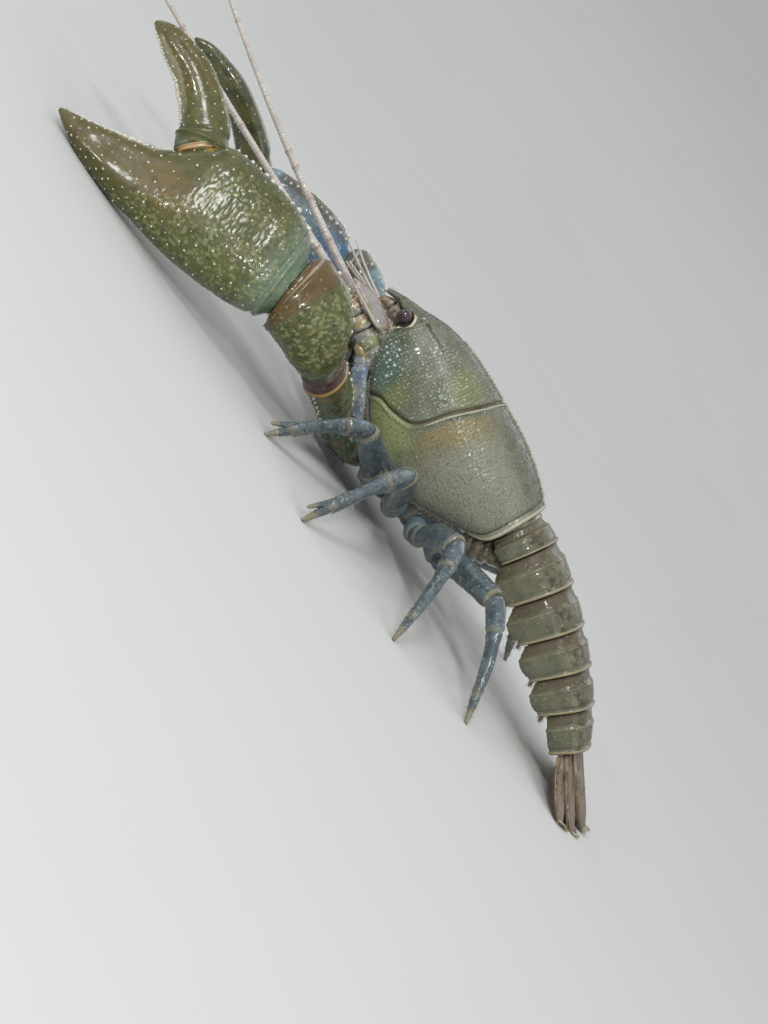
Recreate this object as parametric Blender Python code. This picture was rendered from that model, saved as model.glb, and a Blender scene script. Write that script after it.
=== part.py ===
"""A freshwater swamp crayfish at life size, standing on the floor with its claws open.

Sizes are millimetres and become metres as each mesh is made. The head looks along -Y,
its left side along +X, and +Z is up. Places on the shell are given by their distance
behind the rostrum's tip (back), to the side (out) and above the tip (up), before the
body is tipped a little head-up.
"""

import math

import bmesh
import bpy
from mathutils import Vector

MM = 0.001
JOINT_GAP = 0.3
LEFT = 1
RIGHT = -1
SIDE_NAMES = {LEFT: "left", RIGHT: "right"}

# The stance
BODY_PITCH = math.radians(8.0)
ROSTRUM_HEIGHT = 23.0

# The shell: (back, value) pairs of its profile, lower edge and plan
BACK_LINE = (
    (0.0, 0.0),
    (4.5, 3.1),
    (9.7, 6.2),
    (16.8, 8.05),
    (24.3, 8.7),
    (31.0, 9.0),
    (37.0, 8.5),
    (43.5, 7.0),
)
LOWER_EDGE = (
    (6.0, -3.9),
    (9.5, -6.6),
    (11.7, -8.1),
    (15.0, -10.1),
    (19.0, -11.6),
    (23.5, -11.9),
    (31.0, -10.8),
    (35.7, -8.1),
    (39.8, -5.2),
    (43.5, -3.4),
)
HALF_WIDTH = (
    (5.0, 3.9),
    (8.0, 5.0),
    (12.0, 6.6),
    (17.0, 8.1),
    (24.0, 9.2),
    (31.0, 9.4),
    (38.0, 8.7),
    (43.5, 7.3),
)
WIDEST_UP = ((6.0, 0.0), (12.0, -1.5), (20.0, -3.0), (32.0, -2.6), (43.5, -0.5))
EDGE_TUCK = 0.64
UNDERSIDE_RISE = 1.5
# How square the back is across: 1 is an ellipse
BACK_SQUARENESS = 0.9
# Share of the way round from the midline of the back to the widest place and to the lower edge
ROUND_WIDEST = 0.46
ROUND_EDGE = 0.82
# Where the shell's front rim, the groove across it and its rear rim lie, by share of the way round
FRONT_RIM = (
    (0.0, 7.6),
    (0.22, 7.3),
    (0.38, 7.1),
    (0.47, 6.5),
    (0.56, 6.1),
    (0.70, 8.4),
    (0.82, 10.6),
    (1.0, 10.6),
)
FACE_HOLLOW = (8.4, -2.0)
GROOVE = (
    (0.0, 24.3),
    (0.2, 23.4),
    (0.36, 22.1),
    (0.46, 21.6),
    (0.51, 20.8),
    (0.57, 18.0),
    (0.63, 15.3),
    (0.71, 14.1),
    (0.82, 13.6),
    (1.0, 13.6),
)
REAR_RIM = ((0.0, 42.4), (0.3, 42.8), (0.46, 43.0), (0.62, 42.6), (0.72, 41.4), (0.82, 39.8), (1.0, 39.8))
GROOVE_GAP = 0.4
SHELL_HALF_STEPS = 16
HEAD_RINGS = 12
THORAX_RINGS = 8

# Rostrum and eyes
ROSTRUM_HALF_WIDTH = ((0.0, 0.6), (0.7, 1.2), (3.0, 1.9), (5.5, 2.5), (7.8, 3.2), (11.5, 3.6))
# Over this stretch it turns from a free beak with raised sides into a low swelling of the back
ROSTRUM_BLEND = (5.0, 9.2)
ROSTRUM_START = 0.05
ROSTRUM_END = 11.5
ROSTRUM_STEPS = 12
ROSTRUM_THICKNESS = 1.2
ROSTRUM_DEEPENING = 0.12
ROSTRUM_RIM = 0.14
ROSTRUM_PROUD = 0.35
ROSTRUM_FADE = 0.13
EYE_BACK = 5.3
EYE_UP = 0.95
EYE_OUT = 3.75
EYE_RADIUS = 1.25
BROW_HALF_WIDTH = 0.8
# The block between the orbits: (back, top, underside)
BROW_SECTIONS = ((4.7, 2.3, -0.1), (6.5, 3.6, -0.4), (9.5, 4.5, -1.0))
EYESTALK_RADIUS = 0.75

# Head limbs
ANTENNA_BASE_START = (7.4, 3.4, -5.9)
ANTENNA_BASE_END = (-1.6, 3.9, -5.6)
# Its four joints: (share of the length, radius)
ANTENNA_BASE_SHAPE = (
    (0.0, 1.5),
    (0.10, 1.9),
    (0.27, 2.0),
    (0.34, 1.6),
    (0.40, 1.7),
    (0.56, 1.65),
    (0.62, 1.3),
    (0.68, 1.4),
    (0.88, 1.3),
    (1.0, 0.95),
)
ANTENNA_LENGTH = 88.0
ANTENNA_RADIUS = 0.8
ANTENNA_TIP_RADIUS = 0.26
ANTENNA_RISE = {LEFT: (1.0, 8.0), RIGHT: (7.0, 18.0)}
ANTENNA_SPREAD = {LEFT: (1.0, 12.0), RIGHT: (2.0, 14.0)}
ANTENNA_STEPS = 22
# The leaf over the antenna: (share of the length, share of the half width)
SCALE_ROOT = (5.8, 4.8, -2.5)
SCALE_LENGTH = 9.4
SCALE_HALF_WIDTH = 1.7
SCALE_THICKNESS = 0.7
SCALE_SHAPE = ((0.0, 0.7), (0.15, 0.95), (0.35, 1.0), (0.55, 0.95), (0.75, 0.78), (0.9, 0.48), (1.0, 0.18))
# The small inner feeler: (share of the stalk, radius), then (length, rise, spread) of its two whips
ANTENNULE_START = (6.7, 1.6, -1.7)
ANTENNULE_END = (0.6, 1.6, -2.2)
ANTENNULE_SHAPE = ((0.0, 0.95), (0.3, 1.0), (0.42, 0.75), (0.55, 0.8), (0.7, 0.62), (0.78, 0.66), (1.0, 0.55))
WHIPS = ((12.0, (6.0, 14.0), (8.0, 18.0)), (9.0, (-6.0, 0.0), (-2.0, 4.0)))
WHIP_ROOT_BACK = 1.4
WHIP_RADIUS = 0.34
WHIP_TIP_RADIUS = 0.18
# The outer mouth limb: (back, out, up, half width, half thickness)
MAXILLIPED_SHAPE = (
    (19.2, 2.9, -18.2, 1.2, 1.3),
    (17.0, 3.0, -17.7, 2.0, 1.7),
    (13.0, 3.2, -15.3, 2.5, 1.9),
    (9.0, 3.3, -13.2, 2.3, 1.8),
    (7.2, 3.3, -12.2, 1.7, 1.5),
    (5.8, 3.2, -11.5, 1.9, 1.5),
    (3.6, 3.1, -10.6, 1.7, 1.3),
    (1.8, 3.0, -9.9, 1.15, 1.0),
    (0.0, 2.9, -9.2, 1.1, 0.9),
    (-1.6, 2.8, -8.6, 0.75, 0.6),
    (-2.8, 2.7, -8.2, 0.35, 0.3),
)

# Legs behind the claws, from the second pair to the fifth
LEG_BACK = (27.6, 31.7, 35.7, 39.2)
LEG_UP = (-14.2, -13.2, -12.0, -10.6)
LEG_FORWARD_DEG = (28.0, 8.0, -18.0, -44.0)
UPPER_LENGTH = (17.5, 22.0, 20.0, 18.5)
LOWER_LENGTH = (19.5, 25.0, 22.5, 21.5)
KNEE_HEIGHT = (10.5, 12.5, 12.5, 12.0)
THIGH_RADIUS = (2.1, 2.3, 2.15, 2.0)
# Hip to knee, and knee to foot: (share of the way, half width as a share of the thigh's)
UPPER_SHAPE = (
    (0.0, 0.86),
    (0.12, 0.95),
    (0.20, 0.8),
    (0.30, 0.92),
    (0.36, 0.86),
    (0.55, 1.06),
    (0.8, 0.98),
    (0.93, 1.0),
    (1.0, 0.8),
)
LOWER_SHAPE = (
    (0.0, 0.72),
    (0.1, 0.82),
    (0.27, 0.74),
    (0.36, 0.66),
    (0.42, 0.56),
    (0.6, 0.56),
    (0.74, 0.44),
    (0.82, 0.42),
    (0.92, 0.28),
    (1.0, 0.16),
)
LAST_PINCHER_PAIR = 3
PINCHER_PALM = 0.56
PINCHER_FINGER = ((0.70, 0.5), (0.78, 0.55), (0.88, 0.42), (0.97, 0.25))
PINCHER_GAPE = 5.0
UPPER_SAG = 1.3
LOWER_BOW = 2.2
LEG_FLATNESS = 0.79

# The chest's floor between the legs
UNDERBODY_START = 9.3
UNDERBODY_END = 40.8
UNDERBODY_STEPS = 10
UNDERBODY_HALF_WIDTH = 4.6
UNDERBODY_FRONT_HALF_WIDTH = 2.6
UNDERBODY_WIDENING = 0.28
UNDERBODY_LOW = ((9.0, -11.0), (14.0, -13.6), (19.0, -16.2), (27.0, -16.4), (33.0, -15.0), (41.0, -12.0))

# Claws: (along, fixed-finger edge, movable-finger edge, half thickness) of the hand
PALM_OUTLINE = (
    (0.0, 4.8, -4.6, 3.4),
    (1.3, 6.3, -7.0, 4.0),
    (2.8, 6.9, -8.8, 4.4),
    (6.0, 7.5, -10.3, 4.8),
    (10.5, 7.8, -11.4, 5.1),
    (15.5, 7.8, -11.9, 5.1),
    (18.6, 7.6, -12.0, 4.8),
    (20.2, 7.4, -11.4, 4.6),
    (22.9, 6.9, -8.7, 4.1),
    (25.6, 6.5, -5.9, 3.7),
    (28.0, 6.2, -4.2, 3.4),
    (32.5, 5.2, -2.8, 2.9),
    (37.0, 3.9, -1.6, 2.1),
    (40.6, 1.9, -0.8, 1.3),
    (42.3, 0.8, -0.4, 0.7),
    (42.9, 0.25, -0.25, 0.3),
)
# Movable finger: (along it, bow away from the fixed finger, half width, half thickness)
FINGER_OUTLINE = (
    (0.0, 0.0, 4.0, 2.7),
    (1.5, 0.8, 4.0, 2.9),
    (3.8, 1.4, 3.7, 2.8),
    (9.0, 1.4, 3.2, 2.4),
    (12.5, 0.7, 3.0, 2.2),
    (15.0, -0.4, 2.7, 1.9),
    (18.0, -1.8, 1.9, 1.4),
    (19.7, -3.0, 1.0, 0.8),
    (20.4, -3.6, 0.3, 0.3),
)
FINGER_ROOT = (23.1, -8.6)
FINGER_LEAN_DEG = -44.0
# The wrist's form: (share of the way, half width, half thickness)
WRIST_SHAPE = (
    (0.0, 3.0, 2.6),
    (0.12, 4.0, 3.3),
    (0.25, 4.8, 3.9),
    (0.38, 5.5, 4.3),
    (0.52, 6.2, 4.6),
    (0.66, 6.7, 4.7),
    (0.80, 6.95, 4.75),
    (0.90, 7.0, 4.75),
    (0.96, 6.6, 4.4),
    (1.0, 5.6, 3.8),
)
WRIST_HANDLE = 0.38
WRIST_KNOB_RINGS = (3, 4, 5, 6, 7)
WRIST_KNOB_RADIUS = 0.6
# The arm's form: (half width, half thickness) at each of its ten places
ARM_SHAPE = (
    (2.5, 2.6),
    (2.7, 2.7),
    (2.4, 2.3),
    (2.5, 2.3),
    (2.4, 2.2),
    (2.9, 2.5),
    (3.4, 2.9),
    (3.7, 3.1),
    (3.6, 3.1),
    (2.9, 2.5),
)
ARM_HIP = (21.2, -14.9)
ARM_KNOB_RINGS = (5, 6, 7, 8)
ARM_KNOB_RADIUS = 0.6
# Rows of knobs on the hand's inner edge
PALM_KNOBS = 9
PALM_KNOB_START = 1.8
PALM_KNOB_STRETCH = 17.0
PALM_KNOB_RADIUS = 0.75
PALM_KNOB_SHRINK = 0.03
PALM_KNOB_SPREAD = 1.9

# Abdomen: half width, height over and under its middle line, length of each of six rings
ABDOMEN_HALF_WIDTH = (6.9, 7.5, 7.5, 7.2, 6.8, 6.2)
ABDOMEN_OVER = (5.0, 5.6, 5.5, 5.2, 4.8, 4.2)
ABDOMEN_LENGTH = (4.4, 7.0, 6.6, 6.3, 6.0, 6.6)
PLEURA_DROP = (3.6, 5.9, 6.0, 5.7, 5.2, 3.4)
STERNUM_DROP = 3.0
ABDOMEN_START_BACK = 43.4
ABDOMEN_START_UP = 1.4
ABDOMEN_PITCH_STEP = math.radians(3.7)
ABDOMEN_STEPS = 4
PADDLE_ROOT_OUT = 3.0
PADDLE_TIP_OUT = 2.6
# A paddle under the tail: (share of its length, half width, half thickness)
PADDLE_SHAPE = ((0.0, 0.6, 0.4), (0.3, 0.85, 0.45), (0.6, 1.05, 0.4), (0.85, 0.8, 0.35), (1.0, 0.3, 0.2))

# Tail fan: (share of the length, share of the half width, thickness)
TELSON_SHAPE = (
    (0.0, 0.82, 1.2),
    (0.2, 0.95, 1.1),
    (0.45, 1.0, 1.0),
    (0.7, 0.95, 0.9),
    (0.88, 0.78, 0.8),
    (1.0, 0.42, 0.7),
)
UROPOD_SHAPE = (
    (0.0, 0.36, 1.0),
    (0.15, 0.5, 1.0),
    (0.35, 0.85, 0.95),
    (0.6, 1.0, 0.9),
    (0.82, 0.92, 0.8),
    (1.0, 0.5, 0.7),
)
FAN_CAMBER = 0.12
FAN_LAYER = 1.25
FAN_TOP = 0.9
# Each plate: (length, half width), with (how far out its root is, the way it heads) for the side ones
TELSON_SIZE = (12.6, 4.3)
INNER_UROPOD = (12.8, 3.3, 3.3, 20.0)
OUTER_UROPOD = (12.6, 3.7, 4.7, 42.0)


def clear_scene():
    for thing in list(bpy.data.objects):
        bpy.data.objects.remove(thing, do_unlink=True)


def finish(name, colour, roughness):
    """A shell material, shared by name."""
    if name in bpy.data.materials:
        return bpy.data.materials[name]
    made = bpy.data.materials.new(name)
    made.use_nodes = True
    shader = made.node_tree.nodes["Principled BSDF"]
    shader.inputs["Base Color"].default_value = (*colour, 1.0)
    shader.inputs["Roughness"].default_value = roughness
    shader.inputs["Metallic"].default_value = 0.0
    return made


def carapace_finish():
    return finish("carapace_olive", (0.12, 0.15, 0.08), 0.35)


def claw_finish():
    return finish("claw_green", (0.10, 0.12, 0.03), 0.3)


def far_claw_finish():
    return finish("claw_blue", (0.08, 0.16, 0.22), 0.3)


def leg_finish():
    return finish("leg_slate", (0.10, 0.16, 0.20), 0.4)


def feeler_finish():
    return finish("feeler_pale", (0.45, 0.40, 0.38), 0.45)


def eye_finish():
    return finish("eye_dark", (0.03, 0.01, 0.02), 0.1)


def tail_finish():
    return finish("tail_brown", (0.16, 0.09, 0.06), 0.35)


def curve_value(points, place):
    """The smooth curve through (place, value) pairs, level beyond its ends."""
    if place <= points[0][0]:
        return points[0][1]
    if place >= points[-1][0]:
        return points[-1][1]
    low = max(k for k in range(len(points) - 1) if points[k][0] <= place)
    slopes = []
    for k in (low, low + 1):
        before = points[max(k - 1, 0)]
        after = points[min(k + 1, len(points) - 1)]
        slopes.append((after[1] - before[1]) / (after[0] - before[0]))
    (x0, y0), (x1, y1) = points[low], points[low + 1]
    span = x1 - x0
    t = (place - x0) / span
    rise = y0 * (2 * t**3 - 3 * t**2 + 1) + y1 * (3 * t**2 - 2 * t**3)
    bend = slopes[0] * (t**3 - 2 * t**2 + t) + slopes[1] * (t**3 - t**2)
    return rise + span * bend


def ease(t):
    """0 up to t = 0, 1 from t = 1, and a smooth step between them."""
    t = min(1.0, max(0.0, t))
    return t * t * (3.0 - 2.0 * t)


def body_point(back, out, up):
    """A place on the body, tipped head-up and raised to its height over the floor."""
    y = back * math.cos(BODY_PITCH) + up * math.sin(BODY_PITCH)
    z = up * math.cos(BODY_PITCH) - back * math.sin(BODY_PITCH)
    return Vector((out, y, z + ROSTRUM_HEIGHT))


def loft(rings, front=None, rear=None):
    """A closed skin over rings of points, each end shut by a fan to its middle."""
    bm = bmesh.new()
    rows = [[bm.verts.new(p * MM) for p in ring] for ring in rings]
    count = len(rings[0])
    for near, far in zip(rows, rows[1:]):
        for k in range(count):
            n = (k + 1) % count
            bm.faces.new((near[k], near[n], far[n], far[k]))
    for row, ring, middle in ((rows[0], rings[0], front), (rows[-1], rings[-1], rear)):
        if middle is None:
            middle = sum(ring, Vector()) / count
        hub = bm.verts.new(middle * MM)
        for k in range(count):
            bm.faces.new((hub, row[k], row[(k + 1) % count]))
    bmesh.ops.recalc_face_normals(bm, faces=bm.faces)
    return bm


def solid(name, bm, material):
    """A smooth-shaded object made of one closed mesh."""
    bmesh.ops.recalc_face_normals(bm, faces=bm.faces)
    mesh = bpy.data.meshes.new(name)
    bm.to_mesh(mesh)
    bm.free()
    mesh.shade_smooth()
    mesh.set_sharp_from_angle(angle=math.radians(50.0))
    mesh.materials.append(material)
    made = bpy.data.objects.new(name, mesh)
    bpy.context.scene.collection.objects.link(made)
    return made


def knob(centre, radius, material):
    """A small round lump that a union sinks into a shell."""
    ball = bmesh.new()
    bmesh.ops.create_icosphere(ball, subdivisions=1, radius=radius * MM)
    bmesh.ops.translate(ball, verts=ball.verts, vec=centre * MM)
    return solid("knob", ball, material)


def keep_largest(thing):
    """Drop every closed surface of a mesh but the largest."""
    bm = bmesh.new()
    bm.from_mesh(thing.data)
    left = set(bm.verts)
    groups = []
    while left:
        stack = [left.pop()]
        group = set(stack)
        while stack:
            for edge in stack.pop().link_edges:
                for vert in edge.verts:
                    if vert in left:
                        left.remove(vert)
                        group.add(vert)
                        stack.append(vert)
        groups.append(group)
    groups.sort(key=len)
    for group in groups[:-1]:
        bmesh.ops.delete(bm, geom=list(group), context="VERTS")
    bm.to_mesh(thing.data)
    bm.free()


def join(base, pieces, solver="EXACT"):
    """One Boolean union of the pieces with the base, applied."""
    group = bpy.data.collections.new(base.name + "_pieces")
    bpy.context.scene.collection.children.link(group)
    for piece in pieces:
        bpy.context.scene.collection.objects.unlink(piece)
        group.objects.link(piece)
    union = base.modifiers.new("union", "BOOLEAN")
    union.operation = "UNION"
    union.operand_type = "COLLECTION"
    union.collection = group
    union.solver = solver
    settled = base.evaluated_get(bpy.context.evaluated_depsgraph_get())
    joined = bpy.data.meshes.new_from_object(settled)
    base.modifiers.clear()
    base.data = joined
    for piece in list(group.objects):
        bpy.data.objects.remove(piece, do_unlink=True)
    bpy.data.collections.remove(group)
    keep_largest(base)
    return base


def stand_flat(bm):
    """Cut away what is under the floor, leaving a small flat at its level."""
    everything = bm.verts[:] + bm.edges[:] + bm.faces[:]
    cut = bmesh.ops.bisect_plane(
        bm, geom=everything, plane_co=(0.0, 0.0, 0.0), plane_no=(0.0, 0.0, -1.0), clear_outer=True
    )
    rim = [g for g in cut["geom_cut"] if isinstance(g, bmesh.types.BMEdge)]
    if rim:
        bmesh.ops.holes_fill(bm, edges=rim, sides=0)
    bmesh.ops.triangulate(bm, faces=[f for f in bm.faces if len(f.verts) > 4])


def flatten_object(thing):
    bm = bmesh.new()
    bm.from_mesh(thing.data)
    stand_flat(bm)
    bm.to_mesh(thing.data)
    bm.free()


def signed_power(value, power):
    return math.copysign(abs(value) ** power, value)


def oval(centre, along, normal, half_wide, half_thick, sides=10, power=1.0, side=LEFT):
    """A ring square to along, wide in the plane that normal faces."""
    along = along.normalized()
    wide = normal.cross(along).normalized() * side
    thick = along.cross(wide).normalized()
    ring = []
    for k in range(sides):
        angle = 2.0 * math.pi * k / sides
        across = wide * half_wide * signed_power(math.cos(angle), power)
        through = thick * half_thick * signed_power(math.sin(angle), power)
        ring.append(centre + across + through)
    return ring


def path_tangent(points, k):
    return (points[min(k + 1, len(points) - 1)] - points[max(k - 1, 0)]).normalized()


def tube(points, wides, thicks, normal, sides=10, power=1.0, side=LEFT):
    """Rings along a path, with a half width and half thickness at each of its points."""
    rings = []
    for k, point in enumerate(points):
        along = path_tangent(points, k)
        rings.append(oval(point, along, normal, wides[k], thicks[k], sides, power, side))
    return rings


def round_tube(points, sizes, sides):
    return tube(points, sizes, sizes, Vector((0, 0, 1)), sides)


def align(ring, like):
    """Turn a ring's numbering so that its points face those of the next ring."""
    count = len(ring)
    best = None
    for order in (1, -1):
        for shift in range(count):
            turned = [ring[(shift + order * k) % count] for k in range(count)]
            total = sum((a - b).length for a, b in zip(turned, like))
            if best is None or total < best[0]:
                best = (total, turned)
    return best[1]


def shell_height(back, out):
    """The height of the shell's back at a distance out to the side."""
    top = curve_value(BACK_LINE, back)
    middle = curve_value(WIDEST_UP, back)
    half = curve_value(HALF_WIDTH, back)
    share = min(1.0, out / half) ** (1.0 / BACK_SQUARENESS)
    return middle + (top - middle) * math.sqrt(1.0 - share * share)


def shell_point(back, share):
    """The shell's surface at a distance back and a share of the way round one side."""
    top = curve_value(BACK_LINE, back)
    edge = curve_value(LOWER_EDGE, back)
    middle = curve_value(WIDEST_UP, back)
    half = curve_value(HALF_WIDTH, back)
    if share <= ROUND_WIDEST:
        angle = math.pi / 2 * (1.0 - share / ROUND_WIDEST)
        return half * math.cos(angle) ** BACK_SQUARENESS, middle + (top - middle) * math.sin(angle)
    if share <= ROUND_EDGE:
        angle = math.pi / 2 * (share - ROUND_WIDEST) / (ROUND_EDGE - ROUND_WIDEST)
        out = half * (EDGE_TUCK + (1.0 - EDGE_TUCK) * math.cos(angle))
        return out, middle + (edge - middle) * math.sin(angle)
    inward = (share - ROUND_EDGE) / (1.0 - ROUND_EDGE)
    return half * EDGE_TUCK * (1.0 - inward), edge + UNDERSIDE_RISE * math.sin(inward * math.pi / 2)


def shell_ring(place):
    """One ring of the shell, where place gives the distance back for each share round."""
    ring = []
    for k in range(2 * SHELL_HALF_STEPS):
        side = LEFT if k <= SHELL_HALF_STEPS else RIGHT
        step = k if k <= SHELL_HALF_STEPS else 2 * SHELL_HALF_STEPS - k
        share = step / SHELL_HALF_STEPS
        back = place(share)
        out, up = shell_point(back, share)
        ring.append(body_point(back, out * side, up))
    return ring


def shell_piece(front, rear, count):
    """The rings of the shell between two lines drawn round it."""
    rings = []
    for k in range(count + 1):
        t = k / count

        def place(share, t=t):
            return front(share) + (rear(share) - front(share)) * t

        rings.append(shell_ring(place))
    return rings


def both_halves(back, outline):
    """A ring from the (out, up) points of its left half, listed from top to bottom."""
    ring = [body_point(back, out, up) for out, up in outline]
    return ring + [body_point(back, -out, up) for out, up in outline[-2:0:-1]]


def rostrum_ring(back):
    half = curve_value(ROSTRUM_HALF_WIDTH, back)
    top = curve_value(BACK_LINE, back)
    blend = ease((back - ROSTRUM_BLEND[0]) / (ROSTRUM_BLEND[1] - ROSTRUM_BLEND[0]))
    proud = ROSTRUM_PROUD - ROSTRUM_FADE * max(0.0, back - ROSTRUM_BLEND[0])
    outline = []
    for share, lift in ((0.0, -ROSTRUM_RIM), (0.55, -ROSTRUM_RIM / 2), (0.85, ROSTRUM_RIM), (1.0, -0.4)):
        free = top + lift
        seated = shell_height(back, share * half) + proud + min(0.0, lift)
        outline.append((half * share, free + (seated - free) * blend))
    under = top - ROSTRUM_THICKNESS - ROSTRUM_DEEPENING * back
    outline += [(half * 0.8, min(under + 0.15, outline[-1][1] - 0.5)), (0.0, under)]
    return both_halves(back, outline)


def rostrum():
    """The blunt beak over the eyes, its root a low swelling sunk in the head."""
    stretch = ROSTRUM_END - ROSTRUM_START
    rings = [rostrum_ring(ROSTRUM_START + stretch * k / ROSTRUM_STEPS) for k in range(ROSTRUM_STEPS + 1)]
    return solid("rostrum", loft(rings), carapace_finish())


def brow():
    """The block between the orbits that the eyestalks grow from."""
    rings = []
    for back, top, under in BROW_SECTIONS:
        low = [body_point(back, out, under) for out in (-BROW_HALF_WIDTH, BROW_HALF_WIDTH)]
        high = [body_point(back, out, top) for out in (BROW_HALF_WIDTH, -BROW_HALF_WIDTH)]
        rings.append(low + high)
    return solid("brow", loft(rings), carapace_finish())


def head():
    def front(share):
        return curve_value(FRONT_RIM, share)

    def rear(share):
        return curve_value(GROOVE, share)

    back, up = FACE_HOLLOW
    skin = loft(shell_piece(front, rear, HEAD_RINGS), front=body_point(back, 0.0, up))
    return join(solid("head", skin, carapace_finish()), [rostrum(), brow()])


def thorax():
    def front(share):
        return curve_value(GROOVE, share) + GROOVE_GAP

    def rear(share):
        return curve_value(REAR_RIM, share)

    return solid("thorax", loft(shell_piece(front, rear, THORAX_RINGS)), carapace_finish())


def underbody():
    """The floor of the chest between the legs, and the mouth's frame before it."""
    rings = []
    for k in range(UNDERBODY_STEPS + 1):
        behind = (UNDERBODY_END - UNDERBODY_START) * k / UNDERBODY_STEPS
        back = UNDERBODY_START + behind
        half = min(UNDERBODY_HALF_WIDTH, UNDERBODY_FRONT_HALF_WIDTH + UNDERBODY_WIDENING * behind)
        edge = curve_value(LOWER_EDGE, back)
        low = curve_value(UNDERBODY_LOW, back)
        outline = (
            (0.0, edge + UNDERSIDE_RISE - 0.45),
            (half * 0.8, edge + 0.3),
            (half, edge - 0.5),
            (half, low + 1.6),
            (half * 0.6, low + 0.3),
            (0.0, low),
        )
        rings.append(both_halves(back, outline))
    return solid("underbody", loft(rings), leg_finish())


def eye(side):
    """A ball on a short stalk that meets the brow."""
    ball = bmesh.new()
    bmesh.ops.create_uvsphere(ball, u_segments=14, v_segments=10, radius=EYE_RADIUS * MM)
    bmesh.ops.translate(ball, verts=ball.verts, vec=body_point(EYE_BACK, side * EYE_OUT, EYE_UP) * MM)
    made = solid(SIDE_NAMES[side] + "_eye", ball, eye_finish())
    inner = body_point(EYE_BACK + 0.5, side * (BROW_HALF_WIDTH + JOINT_GAP), EYE_UP - 0.1)
    outer = body_point(EYE_BACK, side * (EYE_OUT - 0.3), EYE_UP)
    points = [inner, inner.lerp(outer, 0.5), outer]
    sizes = [EYESTALK_RADIUS, EYESTALK_RADIUS * 0.95, EYESTALK_RADIUS * 1.1]
    return join(made, [solid("stalk", loft(round_tube(points, sizes, 10)), eye_finish())])


def side_point(place, side):
    """A (back, out, up) place on one side of the body."""
    back, out, up = place
    return body_point(back, side * out, up)


def antenna_base(side):
    """The jointed stalk that carries the long feeler."""
    start = side_point(ANTENNA_BASE_START, side)
    end = side_point(ANTENNA_BASE_END, side)
    points = [start.lerp(end, share) for share, _ in ANTENNA_BASE_SHAPE]
    rings = round_tube(points, [radius for _, radius in ANTENNA_BASE_SHAPE], 12)
    return solid(SIDE_NAMES[side] + "_antenna_base", loft(rings), feeler_finish())


def feeler_path(start, length, rise, spread, side, steps):
    """Points along a feeler that turns evenly from its first angles to its last, in degrees."""
    points = [start]
    for k in range(steps):
        t = (k + 0.5) / steps
        up = math.radians(rise[0] + (rise[1] - rise[0]) * t)
        out = math.radians(spread[0] + (spread[1] - spread[0]) * t)
        ahead = Vector((side * math.sin(out) * math.cos(up), -math.cos(out) * math.cos(up), math.sin(up)))
        points.append(points[-1] + ahead * (length / steps))
    return points


def antenna(side):
    back, out, up = ANTENNA_BASE_END
    start = body_point(back - JOINT_GAP, out * side, up)
    points = feeler_path(start, ANTENNA_LENGTH, ANTENNA_RISE[side], ANTENNA_SPREAD[side], side, ANTENNA_STEPS)
    narrowing = ANTENNA_TIP_RADIUS - ANTENNA_RADIUS
    sizes = [ANTENNA_RADIUS + narrowing * (k / ANTENNA_STEPS) ** 0.7 for k in range(ANTENNA_STEPS + 1)]
    return solid(SIDE_NAMES[side] + "_antenna", loft(round_tube(points, sizes, 8)), feeler_finish())


def antenna_scale(side):
    """The leaf over the long feeler's base, its tip drooping inwards."""
    back, out, up = SCALE_ROOT
    points = []
    for t, _ in SCALE_SHAPE:
        drop = 0.2 * t + 1.0 * t**3
        points.append(body_point(back - SCALE_LENGTH * t, side * (out - t**2), up - drop))
    wides = [width * SCALE_HALF_WIDTH for _, width in SCALE_SHAPE]
    thicks = [SCALE_THICKNESS * (0.6 - 0.3 * t) for t, _ in SCALE_SHAPE]
    normal = Vector((side * 0.55, 0.0, 0.83))
    rings = tube(points, wides, thicks, normal, sides=8, side=side)
    return solid(SIDE_NAMES[side] + "_antenna_scale", loft(rings), feeler_finish())


def antennule(side):
    """The small inner feeler: a stalk of three joints and two short whips."""
    start = side_point(ANTENNULE_START, side)
    end = side_point(ANTENNULE_END, side)
    points = [start.lerp(end, share) for share, _ in ANTENNULE_SHAPE]
    rings = round_tube(points, [radius for _, radius in ANTENNULE_SHAPE], 8)
    base = solid(SIDE_NAMES[side] + "_antennule", loft(rings), feeler_finish())
    root = end.lerp(start, WHIP_ROOT_BACK / (start - end).length)
    steps = 8
    sizes = [WHIP_RADIUS + (WHIP_TIP_RADIUS - WHIP_RADIUS) * k / steps for k in range(steps + 1)]
    whips = []
    for length, rise, spread in WHIPS:
        path = feeler_path(root, length, rise, spread, side, steps)
        whips.append(solid("whip", loft(round_tube(path, sizes, 6)), feeler_finish()))
    return join(base, whips)


def maxilliped(side):
    """The outer mouth limb, which reaches forward under the head."""
    points = [side_point(place[:3], side) for place in MAXILLIPED_SHAPE]
    wides = [place[3] for place in MAXILLIPED_SHAPE]
    thicks = [place[4] for place in MAXILLIPED_SHAPE]
    rings = tube(points, wides, thicks, Vector((side, 0, 0)), side=side)
    return solid(SIDE_NAMES[side] + "_maxilliped", loft(rings), leg_finish())


def leg_line(start, end, share, bow):
    """A place on a leg's lower part, which bows upwards."""
    return start.lerp(end, share) + Vector((0, 0, bow * math.sin(math.pi * share) * (1.0 - 0.4 * share)))


def pincher_finger(start, foot, normal, side):
    """The free finger of a small pincher, beside the leg's tip."""
    points = []
    for t, _ in PINCHER_FINGER:
        beyond = t - PINCHER_FINGER[0][0]
        lift = Vector((0, 0, 0.5 + 2.0 * beyond))
        points.append(leg_line(start, foot, t, LOWER_BOW) + normal * (beyond * PINCHER_GAPE * side) + lift)
    sizes = [radius for _, radius in PINCHER_FINGER]
    return solid("finger", loft(tube(points, sizes, sizes, normal, sides=8)), leg_finish())


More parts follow.
